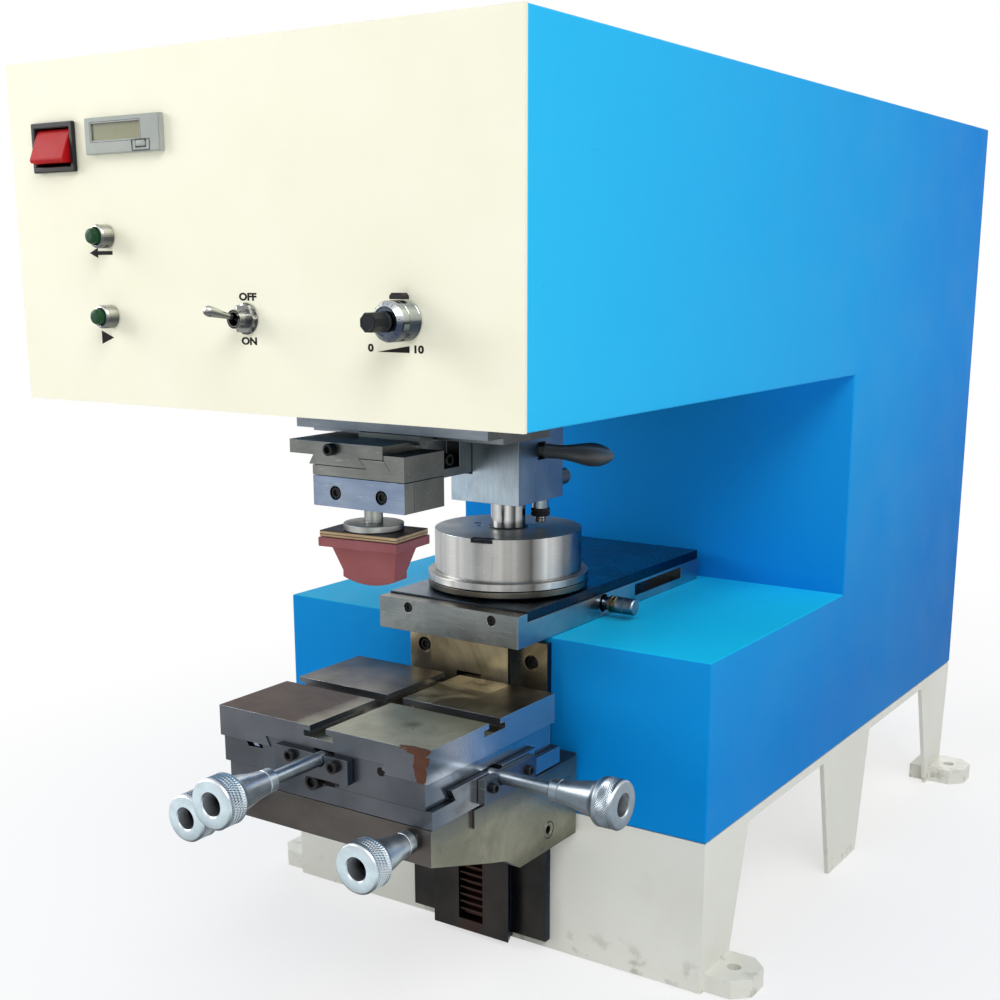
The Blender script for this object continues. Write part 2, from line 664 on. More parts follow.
def counter():
    low_x, high_x = COUNTER_X - COUNTER_HALF_WIDTH, COUNTER_X + COUNTER_HALF_WIDTH
    low_z, high_z = COUNTER_Z - COUNTER_HALF_HEIGHT, COUNTER_Z + COUNTER_HALF_HEIGHT
    case = box("counter", (low_x, -COUNTER_PROUD, low_z), (high_x, -GAP, high_z), "machine", "grey plastic")
    inset = COUNTER_BODY_INSET
    join(case, box("join_counter_body", (low_x + inset, -COUNTER_PROUD / 2, low_z + inset),
                   (high_x - inset, COUNTER_DEPTH, high_z - inset), "machine"))
    cut(case, box("cut_counter_window", (low_x + WINDOW_INSET, -COUNTER_PROUD - OVERRUN,
                                         low_z + WINDOW_BOTTOM_INSET),
                  (high_x - WINDOW_INSET, -COUNTER_PROUD + WINDOW_DEPTH, high_z - inset), "machine"))
    x, z = COUNTER_X + RESET_X, COUNTER_Z + RESET_Z
    cut(case, box("cut_reset_pocket", (x - RESET_HALF_WIDTH - GAP, -COUNTER_PROUD - OVERRUN,
                                       z - RESET_HALF_HEIGHT - GAP),
                  (x + RESET_HALF_WIDTH + GAP, RESET_DEPTH - GAP, z + RESET_HALF_HEIGHT + GAP), "machine"))
    pivot("reset_slide", (x, -COUNTER_PROUD, z), "machine")
    box("counter_reset", (x - RESET_HALF_WIDTH, -COUNTER_PROUD - RESET_PROUD, z - RESET_HALF_HEIGHT),
        (x + RESET_HALF_WIDTH, -COUNTER_PROUD + RESET_DEPTH, z + RESET_HALF_HEIGHT), "reset_slide",
        "grey plastic", RESET_HALF_HEIGHT / 2)


def push_button(word, z):
    mouth = -BEZEL_PROUD
    profile = [(0, BEZEL_BORE_DEPTH), (BEZEL_BORE_RADIUS, BEZEL_BORE_DEPTH)]
    profile += [(BEZEL_BORE_RADIUS, mouth), (BEZEL_RADIUS - BEZEL_EDGE, mouth),
                (BEZEL_RADIUS, mouth + BEZEL_EDGE)]
    profile += [(BEZEL_RADIUS, -GAP), (BEZEL_BARREL_RADIUS, -GAP),
                (BEZEL_BARREL_RADIUS, BEZEL_BARREL_LENGTH)]
    profile += [(0, BEZEL_BARREL_LENGTH)]
    turned(f"{word}_bezel", profile, "y", (BUTTON_X, 0, z), "machine", "chrome")
    pivot(f"{word}_slide", (BUTTON_X, mouth, z), "machine")
    cap = [(0, mouth - CAP_PROUD), (CAP_RADIUS - CAP_EDGE, mouth - CAP_PROUD),
           (CAP_RADIUS, mouth - CAP_PROUD + CAP_EDGE)]
    cap += [(CAP_RADIUS, mouth + CAP_DEPTH), (0, mouth + CAP_DEPTH)]
    turned(f"{word}_button", cap, "y", (BUTTON_X, 0, z), f"{word}_slide", "green plastic")


def toggle_switch():
    mouth = -TOGGLE_BUSH_LENGTH
    deep = -TOGGLE_PIVOT_Y
    profile = [(0, deep - OVERRUN), (TOGGLE_BORE_RADIUS, deep - OVERRUN), (TOGGLE_BORE_RADIUS, mouth)]
    profile += [(TOGGLE_BUSH_RADIUS, mouth), (TOGGLE_BUSH_RADIUS, PANEL_SHEET + OVERRUN),
                (0, PANEL_SHEET + OVERRUN)]
    body = turned("toggle_body", profile, "y", (TOGGLE_X, 0, TOGGLE_Z), "machine", "chrome", SMALL_SIDES)
    nut = circle_points(TOGGLE_NUT_RADIUS, 6, (TOGGLE_X, TOGGLE_Z))
    collar = prism("join_toggle_nut", nut, "y", -TOGGLE_NUT_THICKNESS, -GAP, "machine")
    cut(collar, rod("cut_toggle_nut", TOGGLE_BUSH_RADIUS - GAP, "y", (TOGGLE_X, 0, TOGGLE_Z),
                    -TOGGLE_NUT_THICKNESS - OVERRUN, OVERRUN, "machine", None, SMALL_SIDES))
    join(body, collar)
    half = TOGGLE_BODY_HALF
    join(body, box("join_toggle_case", (TOGGLE_X - half, PANEL_SHEET + GAP, TOGGLE_Z - half),
                   (TOGGLE_X + half, TOGGLE_BODY_DEPTH, TOGGLE_Z + half), "machine"))
    pivot("toggle_pivot", (TOGGLE_X, TOGGLE_PIVOT_Y, TOGGLE_Z), "machine")
    ball = TOGGLE_BALL_RADIUS
    lever = [(ball * math.sin(a), ball * math.cos(a)) for a in [math.pi * i / 8 for i in range(6)]]
    lever = [(0, ball)] + lever[1:] + [(TOGGLE_STEM_RADIUS, -ball * BALL_NECK_SHARE)]
    lever += [(TOGGLE_STEM_RADIUS, -TOGGLE_LEVER_LENGTH / 3),
              (TOGGLE_TIP_RADIUS, TOGGLE_TIP_RADIUS - TOGGLE_LEVER_LENGTH)]
    lever += [(TOGGLE_TIP_RADIUS / 2, -TOGGLE_LEVER_LENGTH), (0, -TOGGLE_LEVER_LENGTH)]
    bat = turned("toggle_lever", lever, "y", (TOGGLE_X, TOGGLE_PIVOT_Y, TOGGLE_Z), "toggle_pivot",
                 "chrome", SMALL_SIDES)
    bat.rotation_euler = (-TOGGLE_TILT, 0, 0)


def speed_dial():
    centre = (DIAL_X, 0, DIAL_Z)
    profile = [(0, -DIAL_PROUD), (DIAL_CONE_RADIUS, -DIAL_PROUD),
               (DIAL_RADIUS, -DIAL_PROUD + DIAL_CONE_LENGTH)]
    profile += [(DIAL_RADIUS, -GAP), (DIAL_BARREL_RADIUS, -GAP), (DIAL_BARREL_RADIUS, PANEL_SHEET + GAP)]
    profile += [(DIAL_CAN_RADIUS, PANEL_SHEET + GAP), (DIAL_CAN_RADIUS, DIAL_CAN_LENGTH),
                (0, DIAL_CAN_LENGTH)]
    turned("dial_base", profile, "y", centre, "machine", "chrome")
    pivot("dial_pivot", (DIAL_X, -DIAL_PROUD, DIAL_Z), "machine")
    low = -DIAL_PROUD - DIAL_GRIP_LENGTH
    grip = [(0, low), (DIAL_GRIP_RADIUS - DIAL_CHAMFER / 2, low),
            (DIAL_GRIP_RADIUS, low + DIAL_CHAMFER / 2)]
    grip += [(DIAL_GRIP_RADIUS, -DIAL_PROUD - GAP), (0, -DIAL_PROUD - GAP)]
    turned("dial_grip", grip, "y", centre, "dial_pivot", "black plastic", 16)
    pivot("dial_lock_pivot", (DIAL_X, -DIAL_LOCK_LENGTH, DIAL_Z), "machine")
    bottom = DIAL_Z + DIAL_RADIUS + GAP
    box("dial_lock", (DIAL_X - DIAL_LOCK_HALF, -DIAL_LOCK_LENGTH - DIAL_CHAMFER, bottom),
        (DIAL_X + DIAL_LOCK_HALF, -DIAL_CHAMFER, bottom + DIAL_LOCK_HEIGHT), "dial_lock_pivot",
        "black plastic",
        DIAL_LOCK_HEIGHT / 4)


# Upright guide, rack, knee and its lift

SLOT_BOTTOM = 0.010
SLOT_TOP = 0.165
BAR_TOP_INSET = 0.001
BAR_BOTTOM_INSET = 0.003


def knee_guide():
    back = BASE_FRONT - GAP
    plate = box("knee_guide", (-GUIDE_HALF, GUIDE_FRONT, GUIDE_BOTTOM), (GUIDE_HALF, back, GUIDE_TOP),
                "machine", "dark steel")
    middle = (GUIDE_FRONT + back) / 2
    outline = [(-BAR_HALF, BAR_FRONT), (BAR_HALF, BAR_FRONT), (BAR_ROOT_HALF, GUIDE_FRONT),
               (BAR_ROOT_HALF, middle)]
    outline += [(-BAR_ROOT_HALF, middle), (-BAR_ROOT_HALF, GUIDE_FRONT)]
    bar = prism("join_guide_bar", outline, "z", GUIDE_BOTTOM - BAR_BOTTOM_INSET, GUIDE_TOP - BAR_TOP_INSET,
                "machine")
    join(plate, bar)
    slot_half = RACK_HALF + GAP
    cut(plate, box("cut_guide_slot", (-slot_half, BAR_FRONT - OVERRUN, SLOT_BOTTOM),
                   (slot_half, GUIDE_FRONT + OVERRUN, SLOT_TOP), "machine"))
    join(plate, lift_rack())


def lift_rack():
    teeth, root = rack_teeth(RACK_BOTTOM, RACK_TOP, pinion_place()[1], RACK_PITCH_Y, 1)
    back = GUIDE_FRONT + OVERRUN * 2
    outline = [(depth, along) for along, depth in teeth]
    outline = [(root, RACK_BOTTOM)] + outline + [(root, RACK_TOP), (back, RACK_TOP), (back, RACK_BOTTOM)]
    return prism("join_lift_rack", outline, "x", -RACK_HALF, RACK_HALF, "machine")


def pinion_place():
    """(y, z) of the lift's cross shaft: in mesh with the rack behind it and with the worm above it."""
    wheel_radius = MODULE * WHEEL_TEETH / 2
    return RACK_PITCH_Y - MODULE * PINION_TEETH / 2, LIFT_KNOB_Z - wheel_radius - WORM_PITCH_RADIUS


KNEE_WALL = 0.0053
KNEE_FRONT_WALL = 0.011
KNEE_REAR_WALL_Y = 0.163
KNEE_NOSE_Z = 0.107
KNEE_SLOPE_END = (0.0935, 0.0904)
KNEE_CURVE = (0.107, 0.0865)
KNEE_FLAT_START = 0.120
KNEE_EAR_Y = 0.178
KNEE_RAIL = 0.002
KNEE_RAIL_BOTTOM = 0.116
KNEE_RAIL_FRONT = 0.075
WAY_PLAY = 0.0003
CROSS_SHAFT_RADIUS = 0.004
CROSS_SHAFT_INSET = 0.003
CROSS_SHAFT_HALF = KNEE_HALF - CROSS_SHAFT_INSET
PINION_HALF = 0.007
WHEEL_HALF = 0.003
WHEEL_ROOM = 0.0012
PLUG_Y = 0.149
PLUG_Z = 0.0897
PLUG_RADIUS = 0.0045
PLUG_DEPTH = 0.0006


def knee_body():
    rear = GUIDE_FRONT - WAY_PLAY
    outline = [(KNEE_FRONT, KNEE_TOP), (KNEE_FRONT, KNEE_NOSE_Z), KNEE_SLOPE_END, KNEE_CURVE]
    outline += [(KNEE_FLAT_START, KNEE_BOTTOM), (KNEE_EAR_Y, KNEE_BOTTOM), (KNEE_EAR_Y, KNEE_TOP)]
    knee = prism("knee_body", outline, "x", -KNEE_HALF, KNEE_HALF, "knee_slide", "ground steel")
    rail = KNEE_HALF + KNEE_RAIL
    join(knee, box("join_knee_rails", (-rail, KNEE_RAIL_FRONT, KNEE_RAIL_BOTTOM), (rail, rear, KNEE_TOP),
                   "knee_slide"))
    inner = KNEE_HALF - KNEE_WALL
    cut(knee, box("cut_knee_hollow", (-inner, KNEE_FRONT + KNEE_FRONT_WALL, KNEE_BOTTOM - OVERRUN),
                  (inner, KNEE_REAR_WALL_Y, KNEE_TOP + OVERRUN), "knee_slide"))
    play = GUIDE_HALF + WAY_PLAY
    cut(knee, box("cut_knee_guide", (-play, rear, KNEE_BOTTOM - OVERRUN),
                  (play, KNEE_EAR_Y + OVERRUN, KNEE_TOP + OVERRUN), "knee_slide"))
    front = BAR_FRONT - WAY_PLAY
    way = [(-BAR_HALF - WAY_PLAY, front), (BAR_HALF + WAY_PLAY, front)]
    way += [(BAR_ROOT_HALF + WAY_PLAY, rear + OVERRUN), (-BAR_ROOT_HALF - WAY_PLAY, rear + OVERRUN)]
    cut(knee, prism("cut_knee_way", way, "z", KNEE_BOTTOM - OVERRUN, KNEE_TOP + OVERRUN, "knee_slide"))
    y, z = pinion_place()
    reach = MODULE * (PINION_TEETH / 2 + 1) + WHEEL_ROOM
    cut(knee, rod("cut_pinion_room", reach, "x", (0, y, z), -PINION_HALF - WHEEL_ROOM,
                  PINION_HALF + WHEEL_ROOM,
                  "knee_slide"))
    wheel = MODULE * (WHEEL_TEETH / 2 + 1) + WHEEL_ROOM
    cut(knee, rod("cut_wheel_room", wheel, "x", (LIFT_KNOB_X, y, z), -WHEEL_HALF - WHEEL_ROOM,
                  WHEEL_HALF + WHEEL_ROOM,
                  "knee_slide"))
    cut(knee, rod("cut_cross_shaft", CROSS_SHAFT_RADIUS + SCREW_PLAY, "x", (0, y, z),
                  -CROSS_SHAFT_HALF - GAP,
                  CROSS_SHAFT_HALF + GAP, "knee_slide", None, SMALL_SIDES))
    for side, word in ((1, "lift"), (-1, "lock")):
        end = KNEE_REAR_WALL_Y + KNEE_WALL
        cut(knee, rod(f"cut_{word}_shaft", SCREW_RADIUS + SCREW_PLAY, "y",
                      (KNOB_PLACES[side], 0, LIFT_KNOB_Z),
                      KNEE_FRONT - OVERRUN, end, "knee_slide", None, SMALL_SIDES))
    plug = [(PLUG_RADIUS, -PLUG_DEPTH), (PLUG_RADIUS + PLUG_DEPTH, -PLUG_DEPTH)]
    plug += [(PLUG_RADIUS + PLUG_DEPTH, OVERRUN), (PLUG_RADIUS, OVERRUN)]
    cut(knee, turned("cut_plug_ring", plug, "x", (KNEE_HALF, PLUG_Y, PLUG_Z), "knee_slide", None,
                     SMALL_SIDES, True))


def cross_shaft():
    """The lift's cross shaft, with its pinion in the middle and its wheel under the lift knob's worm."""
    y, z = pinion_place()
    pivot("pinion_pivot", (0, y, z), "knee_slide")
    shaft = rod("lift_pinion", CROSS_SHAFT_RADIUS, "x", (0, y, z), -CROSS_SHAFT_HALF, CROSS_SHAFT_HALF,
                "pinion_pivot", "bright steel", SMALL_SIDES)
    pinion = gear_outline(PINION_TEETH, (y, z), 0.0)
    join(shaft, prism("join_pinion", pinion, "x", -PINION_HALF, PINION_HALF, "pinion_pivot"))
    wheel = gear_outline(WHEEL_TEETH, (y, z), math.pi / 2)
    join(shaft, prism("join_wheel", wheel, "x", LIFT_KNOB_X - WHEEL_HALF, LIFT_KNOB_X + WHEEL_HALF,
                      "pinion_pivot"))


def knob_profile(shaft_length):
    """From the face's bore to the shaft's far end. Distance 0 is at the neck and falls towards the face."""
    face = -KNOB_LENGTH
    grip = face + KNOB_GRIP_LENGTH
    bore = face + KNOB_BORE_DEPTH
    profile = [(0, bore), (KNOB_BORE_RADIUS, bore), (KNOB_BORE_RADIUS, face),
               (KNOB_RADIUS - KNOB_CHAMFER, face)]
    profile += [(KNOB_RADIUS, face + KNOB_CHAMFER), (KNOB_RADIUS, grip - KNOB_CHAMFER),
                (KNOB_WAIST_RADIUS, grip)]
    profile += [(KNOB_NECK_RADIUS, -KNOB_RING_LENGTH), (KNOB_NECK_RADIUS, 0), (SCREW_RADIUS, 0)]
    profile += [(SCREW_RADIUS, shaft_length), (0, shaft_length)]
    return profile


WORM_BACK = 0.1625
WORM_FRONT = 0.1410
KNEE_SHAFT_END = 0.1655


def knee_knobs():
    for side, word in ((1, "lift"), (-1, "lock")):
        place = (KNOB_PLACES[side], LIFT_KNOB_NECK_Y, LIFT_KNOB_Z)
        pivot(f"{word}_knob_pivot", place, "knee_slide")
        profile = knob_profile(KNEE_SHAFT_END - LIFT_KNOB_NECK_Y)
        knob = turned(f"{word}_knob", profile, "y", place, f"{word}_knob_pivot", "aluminium")
        if word == "lift":
            join(knob, worm_thread())


WORM_TURN_SIDES = 16
WORM_CORE_SINK = 0.0004
WORM_DEPTH_SHARE = 0.55


def worm_thread():
    """One right-hand thread on the lift knob's shaft, with a groove under it at the wheel's middle."""
    lead = math.pi * MODULE
    middle = pinion_place()[0]
    tip = WORM_PITCH_RADIUS + MODULE * WORM_DEPTH_SHARE
    low = SCREW_RADIUS - WORM_CORE_SINK
    slope = math.tan(PRESSURE_ANGLE)
    half_pitch = lead / 4 - BACKLASH * 3 / 2
    half_tip = half_pitch - MODULE * WORM_DEPTH_SHARE * slope
    half_low = half_pitch + (WORM_PITCH_RADIUS - low) * slope
    start_y = WORM_FRONT + half_low
    steps = int((WORM_BACK - half_low - start_y) / lead * WORM_TURN_SIDES)
    first = math.pi + math.tau * (start_y - middle - lead / 2) / lead
    points = []
    for step in range(steps + 1):
        angle = first + math.tau * step / WORM_TURN_SIDES
        y = start_y + lead * step / WORM_TURN_SIDES
        for radius, side in ((low, -half_low), (tip, -half_tip), (tip, half_tip), (low, half_low)):
            x = LIFT_KNOB_X + radius * math.sin(angle)
            points.append((x, y + side, LIFT_KNOB_Z + radius * math.cos(angle)))
    faces = [(0, 1, 2, 3), tuple(4 * steps + corner for corner in (3, 2, 1, 0))]
    for step in range(steps):
        for corner in range(4):
            after = (corner + 1) % 4
            faces.append((4 * step + corner, 4 * step + after, 4 * step + 4 + after, 4 * step + 4 + corner))
    return solid("join_worm_thread", points, faces, "lift_knob_pivot")


# Knee top and cross slide

KNEE_TOP_BACK = 0.1585
CROSS_WAY_Y = 0.0955
CROSS_WAY_HALF = 0.0385
CROSS_WAY_HEIGHT = 0.0062
DOVETAIL_SLOPE = math.tan(math.radians(30))
NUT_HALF = 0.006
NUT_LENGTH_HALF = 0.009
NUT_DROP = 0.0026
CHANNEL_PLAY = 0.0005
BRACKET_HALF = 0.024
BRACKET_THICKNESS = 0.0045
BRACKET_RISE = 0.0027
BRACKET_DROP = 0.0103
CROSS_BRACKET_SHIFT = 0.008
TABLE_BRACKET_SHIFT = -0.005


def dovetail(middle, half, root, rise):
    """A male dovetail's outline, from its root up. Its flanks lean out by 30 degrees."""
    narrow = half - abs(rise) * DOVETAIL_SLOPE
    return [(middle - narrow, root), (middle + narrow, root), (middle + half, root + rise),
            (middle - half, root + rise)]


def dovetail_groove(middle, half, root, rise):
    """The groove for the same dovetail, with the ways' play all round and an open side below the root."""
    half += WAY_PLAY
    narrow = half - rise * DOVETAIL_SLOPE
    top = root + rise + WAY_PLAY
    return [(middle - narrow, root - OVERRUN), (middle + narrow, root - OVERRUN), (middle + narrow, root),
            (middle + half, top), (middle - half, top), (middle - narrow, root)]


def knee_top():
    top = SADDLE_BOTTOM - GAP
    plate = box("knee_top", (-KNEE_TOP_HALF, KNEE_FRONT, KNEE_TOP + GAP),
                (KNEE_TOP_HALF, KNEE_TOP_BACK, top),
                "knee_slide", "ground steel")
    way = dovetail(CROSS_WAY_Y, CROSS_WAY_HALF, top - WAY_PLAY, CROSS_WAY_HEIGHT + WAY_PLAY)
    join(plate, prism("join_cross_way", way, "x", -KNEE_TOP_HALF, KNEE_TOP_HALF, "knee_slide"))
    half = NUT_HALF + CHANNEL_PLAY
    floor = CROSS_SCREW_Z - SCREW_RADIUS - NUT_DROP - CHANNEL_PLAY
    cut(plate, box("cut_cross_channel", (-KNEE_TOP_HALF + NUT_HALF, CROSS_SCREW_Y - half, floor),
                   (KNEE_TOP_HALF + OVERRUN, CROSS_SCREW_Y + half, top + CROSS_WAY_HEIGHT + OVERRUN),
                   "knee_slide"))


def screw_bracket(name, axis, centre, shift, face, on):
    """The plate that a slide's screw turns in. Its middle lies a shift away from the screw."""
    x, y, z = centre
    low, high = z - BRACKET_DROP, z + BRACKET_RISE
    middle = shift + (y if axis == "x" else x)
    start, end = middle - BRACKET_HALF, middle + BRACKET_HALF
    if axis == "x":
        corners = (face + GAP, start, low), (face + GAP + BRACKET_THICKNESS, end, high)
    else:
        corners = (start, face - GAP - BRACKET_THICKNESS, low), (end, face - GAP, high)
    plate = box(name, *corners, on, "ground steel")
    reach = OVERRUN + BRACKET_THICKNESS + GAP
    place = (face, y, z) if axis == "x" else (x, face, z)
    hole = rod(f"cut_{name}", SCREW_RADIUS + SCREW_PLAY, axis, place, -reach, reach, on, None, SMALL_SIDES)
    return cut(plate, hole)


def cross_screw():
    centre = (0, CROSS_SCREW_Y, CROSS_SCREW_Z)
    screw_bracket("cross_bracket", "x", centre, CROSS_BRACKET_SHIFT, KNEE_TOP_HALF, "knee_slide")
    place = (CROSS_KNOB_NECK_X, CROSS_SCREW_Y, CROSS_SCREW_Z)
    pivot("cross_knob_pivot", place, "knee_slide")
    shaft = CROSS_KNOB_NECK_X + KNEE_TOP_HALF - NUT_HALF * 2
    profile = [(radius, -along) for radius, along in knob_profile(shaft)]
    turned("cross_knob", profile, "x", place, "cross_knob_pivot", "aluminium")


def saddle():
    pivot("saddle_slide", (TABLE_OFFSET, CROSS_WAY_Y, SADDLE_BOTTOM), "knee_slide")
    low_x, high_x = TABLE_OFFSET - SADDLE_HALF, TABLE_OFFSET + SADDLE_HALF
    front, back = TABLE_FRONT + SADDLE_INSET, TABLE_BACK - SADDLE_INSET
    top = TABLE_BOTTOM - GAP
    block = box("saddle", (low_x, front, SADDLE_BOTTOM), (high_x, back, top), "saddle_slide",
                "ground steel")
    way = dovetail(TABLE_SCREW_X, TABLE_WAY_HALF, top - WAY_PLAY, TABLE_WAY_HEIGHT + WAY_PLAY)
    join(block, prism("join_table_way", way, "y", front, back, "saddle_slide"))
    groove = dovetail_groove(CROSS_WAY_Y, CROSS_WAY_HALF, SADDLE_BOTTOM - GAP, CROSS_WAY_HEIGHT)
    cut(block, prism("cut_cross_way", groove, "x", low_x - OVERRUN, high_x + OVERRUN, "saddle_slide"))
    half = NUT_HALF + CHANNEL_PLAY
    floor = TABLE_SCREW_Z - SCREW_RADIUS - NUT_DROP - CHANNEL_PLAY
    cut(block, box("cut_table_channel", (TABLE_SCREW_X - half, front - OVERRUN, floor),
                   (TABLE_SCREW_X + half, back - NUT_HALF, top + TABLE_WAY_HEIGHT + OVERRUN),
                   "saddle_slide"))
    nut = box("join_cross_nut", (-NUT_LENGTH_HALF, CROSS_SCREW_Y - NUT_HALF,
                                 CROSS_SCREW_Z - SCREW_RADIUS - NUT_DROP),
              (NUT_LENGTH_HALF, CROSS_SCREW_Y + NUT_HALF, SADDLE_BOTTOM + CROSS_WAY_HEIGHT + OVERRUN),
              "saddle_slide")
    join(block, nut)
    cut(block, rod("cut_cross_nut", SCREW_RADIUS + SCREW_PLAY, "x", (0, CROSS_SCREW_Y, CROSS_SCREW_Z),
                   -NUT_LENGTH_HALF - OVERRUN, NUT_LENGTH_HALF + OVERRUN, "saddle_slide", None,
                   SMALL_SIDES))
    centre = (TABLE_SCREW_X, 0, TABLE_SCREW_Z)
    screw_bracket("table_bracket", "y", centre, TABLE_BRACKET_SHIFT, front, "saddle_slide")


def table_knob():
    place = (TABLE_SCREW_X, TABLE_KNOB_NECK_Y, TABLE_SCREW_Z)
    pivot("table_knob_pivot", place, "saddle_slide")
    end = TABLE_BACK - SADDLE_INSET - NUT_HALF * 2
    turned("table_knob", knob_profile(end - TABLE_KNOB_NECK_Y), "y", place, "table_knob_pivot", "aluminium")


# Work table

TABLE_WAY_HALF = 0.039
TABLE_WAY_HEIGHT = 0.0053
TABLE_NUT_Y = 0.097
SLOT_Y = 0.0972
SLOT_HALF = 0.0052
SLOT_WIDE_HALF = 0.0095
SLOT_NECK_DEPTH = 0.0030
SLOT_DEPTH = 0.0062


def table():
    pivot("table_slide", (TABLE_SCREW_X, SLOT_Y, TABLE_TOP), "saddle_slide")
    low_x, high_x = TABLE_OFFSET - TABLE_HALF, TABLE_OFFSET + TABLE_HALF
    block = box("table", (low_x, TABLE_FRONT, TABLE_BOTTOM), (high_x, TABLE_BACK, TABLE_TOP), "table_slide",
                "ground steel")
    groove = dovetail_groove(TABLE_SCREW_X, TABLE_WAY_HALF, TABLE_BOTTOM - GAP, TABLE_WAY_HEIGHT)
    cut(block, prism("cut_table_way", groove, "y", TABLE_FRONT - OVERRUN, TABLE_BACK + OVERRUN,
                     "table_slide"))
    across = [(SLOT_Y + y, TABLE_TOP + z) for y, z in slot_points()]
    cut(block, prism("cut_slot_across", across, "x", low_x - OVERRUN, high_x + OVERRUN, "table_slide"))
    along = [(TABLE_OFFSET + x, TABLE_TOP + z) for x, z in slot_points()]
    cut(block, prism("cut_slot_along", along, "y", TABLE_FRONT - OVERRUN, TABLE_BACK + OVERRUN,
                     "table_slide"))
    roof = TABLE_BOTTOM + TABLE_WAY_HEIGHT + OVERRUN / 2
    join(block, box("join_table_nut", (TABLE_SCREW_X - NUT_HALF, TABLE_NUT_Y - NUT_LENGTH_HALF,
                                       nut_floor()),
                    (TABLE_SCREW_X + NUT_HALF, TABLE_NUT_Y + NUT_LENGTH_HALF, roof), "table_slide"))
    cut(block, rod("cut_table_nut", SCREW_RADIUS + SCREW_PLAY, "y", (TABLE_SCREW_X, 0, TABLE_SCREW_Z),
                   TABLE_NUT_Y - NUT_LENGTH_HALF - OVERRUN, TABLE_NUT_Y + NUT_LENGTH_HALF + OVERRUN,
                   "table_slide",
                   None, SMALL_SIDES))


def nut_floor():
    return TABLE_SCREW_Z - SCREW_RADIUS - NUT_DROP


def slot_points():
    """A T-slot's outline across its length, with the table top at zero."""
    points = [(-SLOT_HALF, OVERRUN), (-SLOT_HALF, -SLOT_NECK_DEPTH), (-SLOT_WIDE_HALF, -SLOT_NECK_DEPTH)]
    points += [(-SLOT_WIDE_HALF, -SLOT_DEPTH), (SLOT_WIDE_HALF, -SLOT_DEPTH),
               (SLOT_WIDE_HALF, -SLOT_NECK_DEPTH)]
    return points + [(SLOT_HALF, -SLOT_NECK_DEPTH), (SLOT_HALF, OVERRUN)]


# Plate holder and plate

HOLDER_TOP = 0.2085
HOLDER_LIP = 0.0095
HOLDER_BUTTON_Y = 0.239
HOLDER_BUTTON_Z = 0.1980
HOLDER_BUTTON_RADIUS = 0.005
HOLDER_BUTTON_REACH = 0.0212
HOLDER_BUTTON_DEPTH = 0.009
HOLDER_BUTTON_TRAVEL = 0.004
HOLDER_BUTTON_GROOVE = 0.0006
HOLDER_WINDOW_Y = (0.277, 0.339)
HOLDER_WINDOW_Z = (0.195, 0.202)
HOLDER_WINDOW_DEPTH = 0.014


def plate_holder():
    low_z = DECK_TOP + GAP
    floor = PLATE_TOP - PLATE_THICKNESS - GAP
    outline = [(HOLDER_FRONT, low_z), (HOLDER_BACK, low_z), (HOLDER_BACK, floor)]
    outline += [(HOLDER_FRONT + HOLDER_LIP, floor), (HOLDER_FRONT + HOLDER_LIP, HOLDER_TOP),
                (HOLDER_FRONT, HOLDER_TOP)]
    holder = prism("plate_holder", outline, "x", -HOLDER_HALF, HOLDER_HALF, "machine", "dark steel")
    cut(holder, box("cut_holder_window", (HOLDER_HALF - HOLDER_WINDOW_DEPTH, HOLDER_WINDOW_Y[0],
                                          HOLDER_WINDOW_Z[0]),
                    (HOLDER_HALF + OVERRUN, HOLDER_WINDOW_Y[1], HOLDER_WINDOW_Z[1]), "machine"))
    centre = (HOLDER_HALF, HOLDER_BUTTON_Y, HOLDER_BUTTON_Z)
    depth = HOLDER_BUTTON_DEPTH + HOLDER_BUTTON_TRAVEL + GAP
    cut(holder, rod("cut_holder_button", HOLDER_BUTTON_RADIUS + GAP, "x", centre, -depth, OVERRUN,
                    "machine", None,
                    SMALL_SIDES))
    box("cliche_plate", (-HOLDER_HALF, HOLDER_FRONT + HOLDER_LIP + GAP, floor + GAP),
        (HOLDER_HALF, HOLDER_BACK, PLATE_TOP), "machine", "black oxide")
    pivot("plate_button_slide", centre, "machine")
    inner = HOLDER_BUTTON_RADIUS - HOLDER_BUTTON_GROOVE
    low, high = HOLDER_BUTTON_TRAVEL + GAP, HOLDER_BUTTON_TRAVEL + GAP * 4
    profile = [(0, -HOLDER_BUTTON_DEPTH), (HOLDER_BUTTON_RADIUS, -HOLDER_BUTTON_DEPTH),
               (HOLDER_BUTTON_RADIUS, low)]
    profile += [(inner, low), (inner, high), (HOLDER_BUTTON_RADIUS, high)]
    profile += [(HOLDER_BUTTON_RADIUS, HOLDER_BUTTON_REACH - HOLDER_BUTTON_GROOVE)]
    profile += [(inner, HOLDER_BUTTON_REACH), (0, HOLDER_BUTTON_REACH)]
    turned("plate_button", profile, "x", centre, "plate_button_slide", "aluminium", SMALL_SIDES)


# Print slide

SLIDE_HALF = 0.062
SLIDE_FRONT = 0.097
SLIDE_BAR_BACK = 0.154
SLIDE_TAIL_HALF = 0.028
SLIDE_TAIL_BACK = 0.232
SLIDE_BOTTOM = 0.309
SLIDE_TOP = 0.323
SLIDE_STEP_FRONT = 0.1105
BRIDGE_HALF = 0.066
BRIDGE_FRONT = 0.113
BRIDGE_TOP = 0.370
SLIDE_RACK_HALF = 0.005
SLIDE_RACK_BACK = 0.247
SLIDE_RACK_PITCH_Z = 0.380
SLIDE_PINION_Y = 0.236


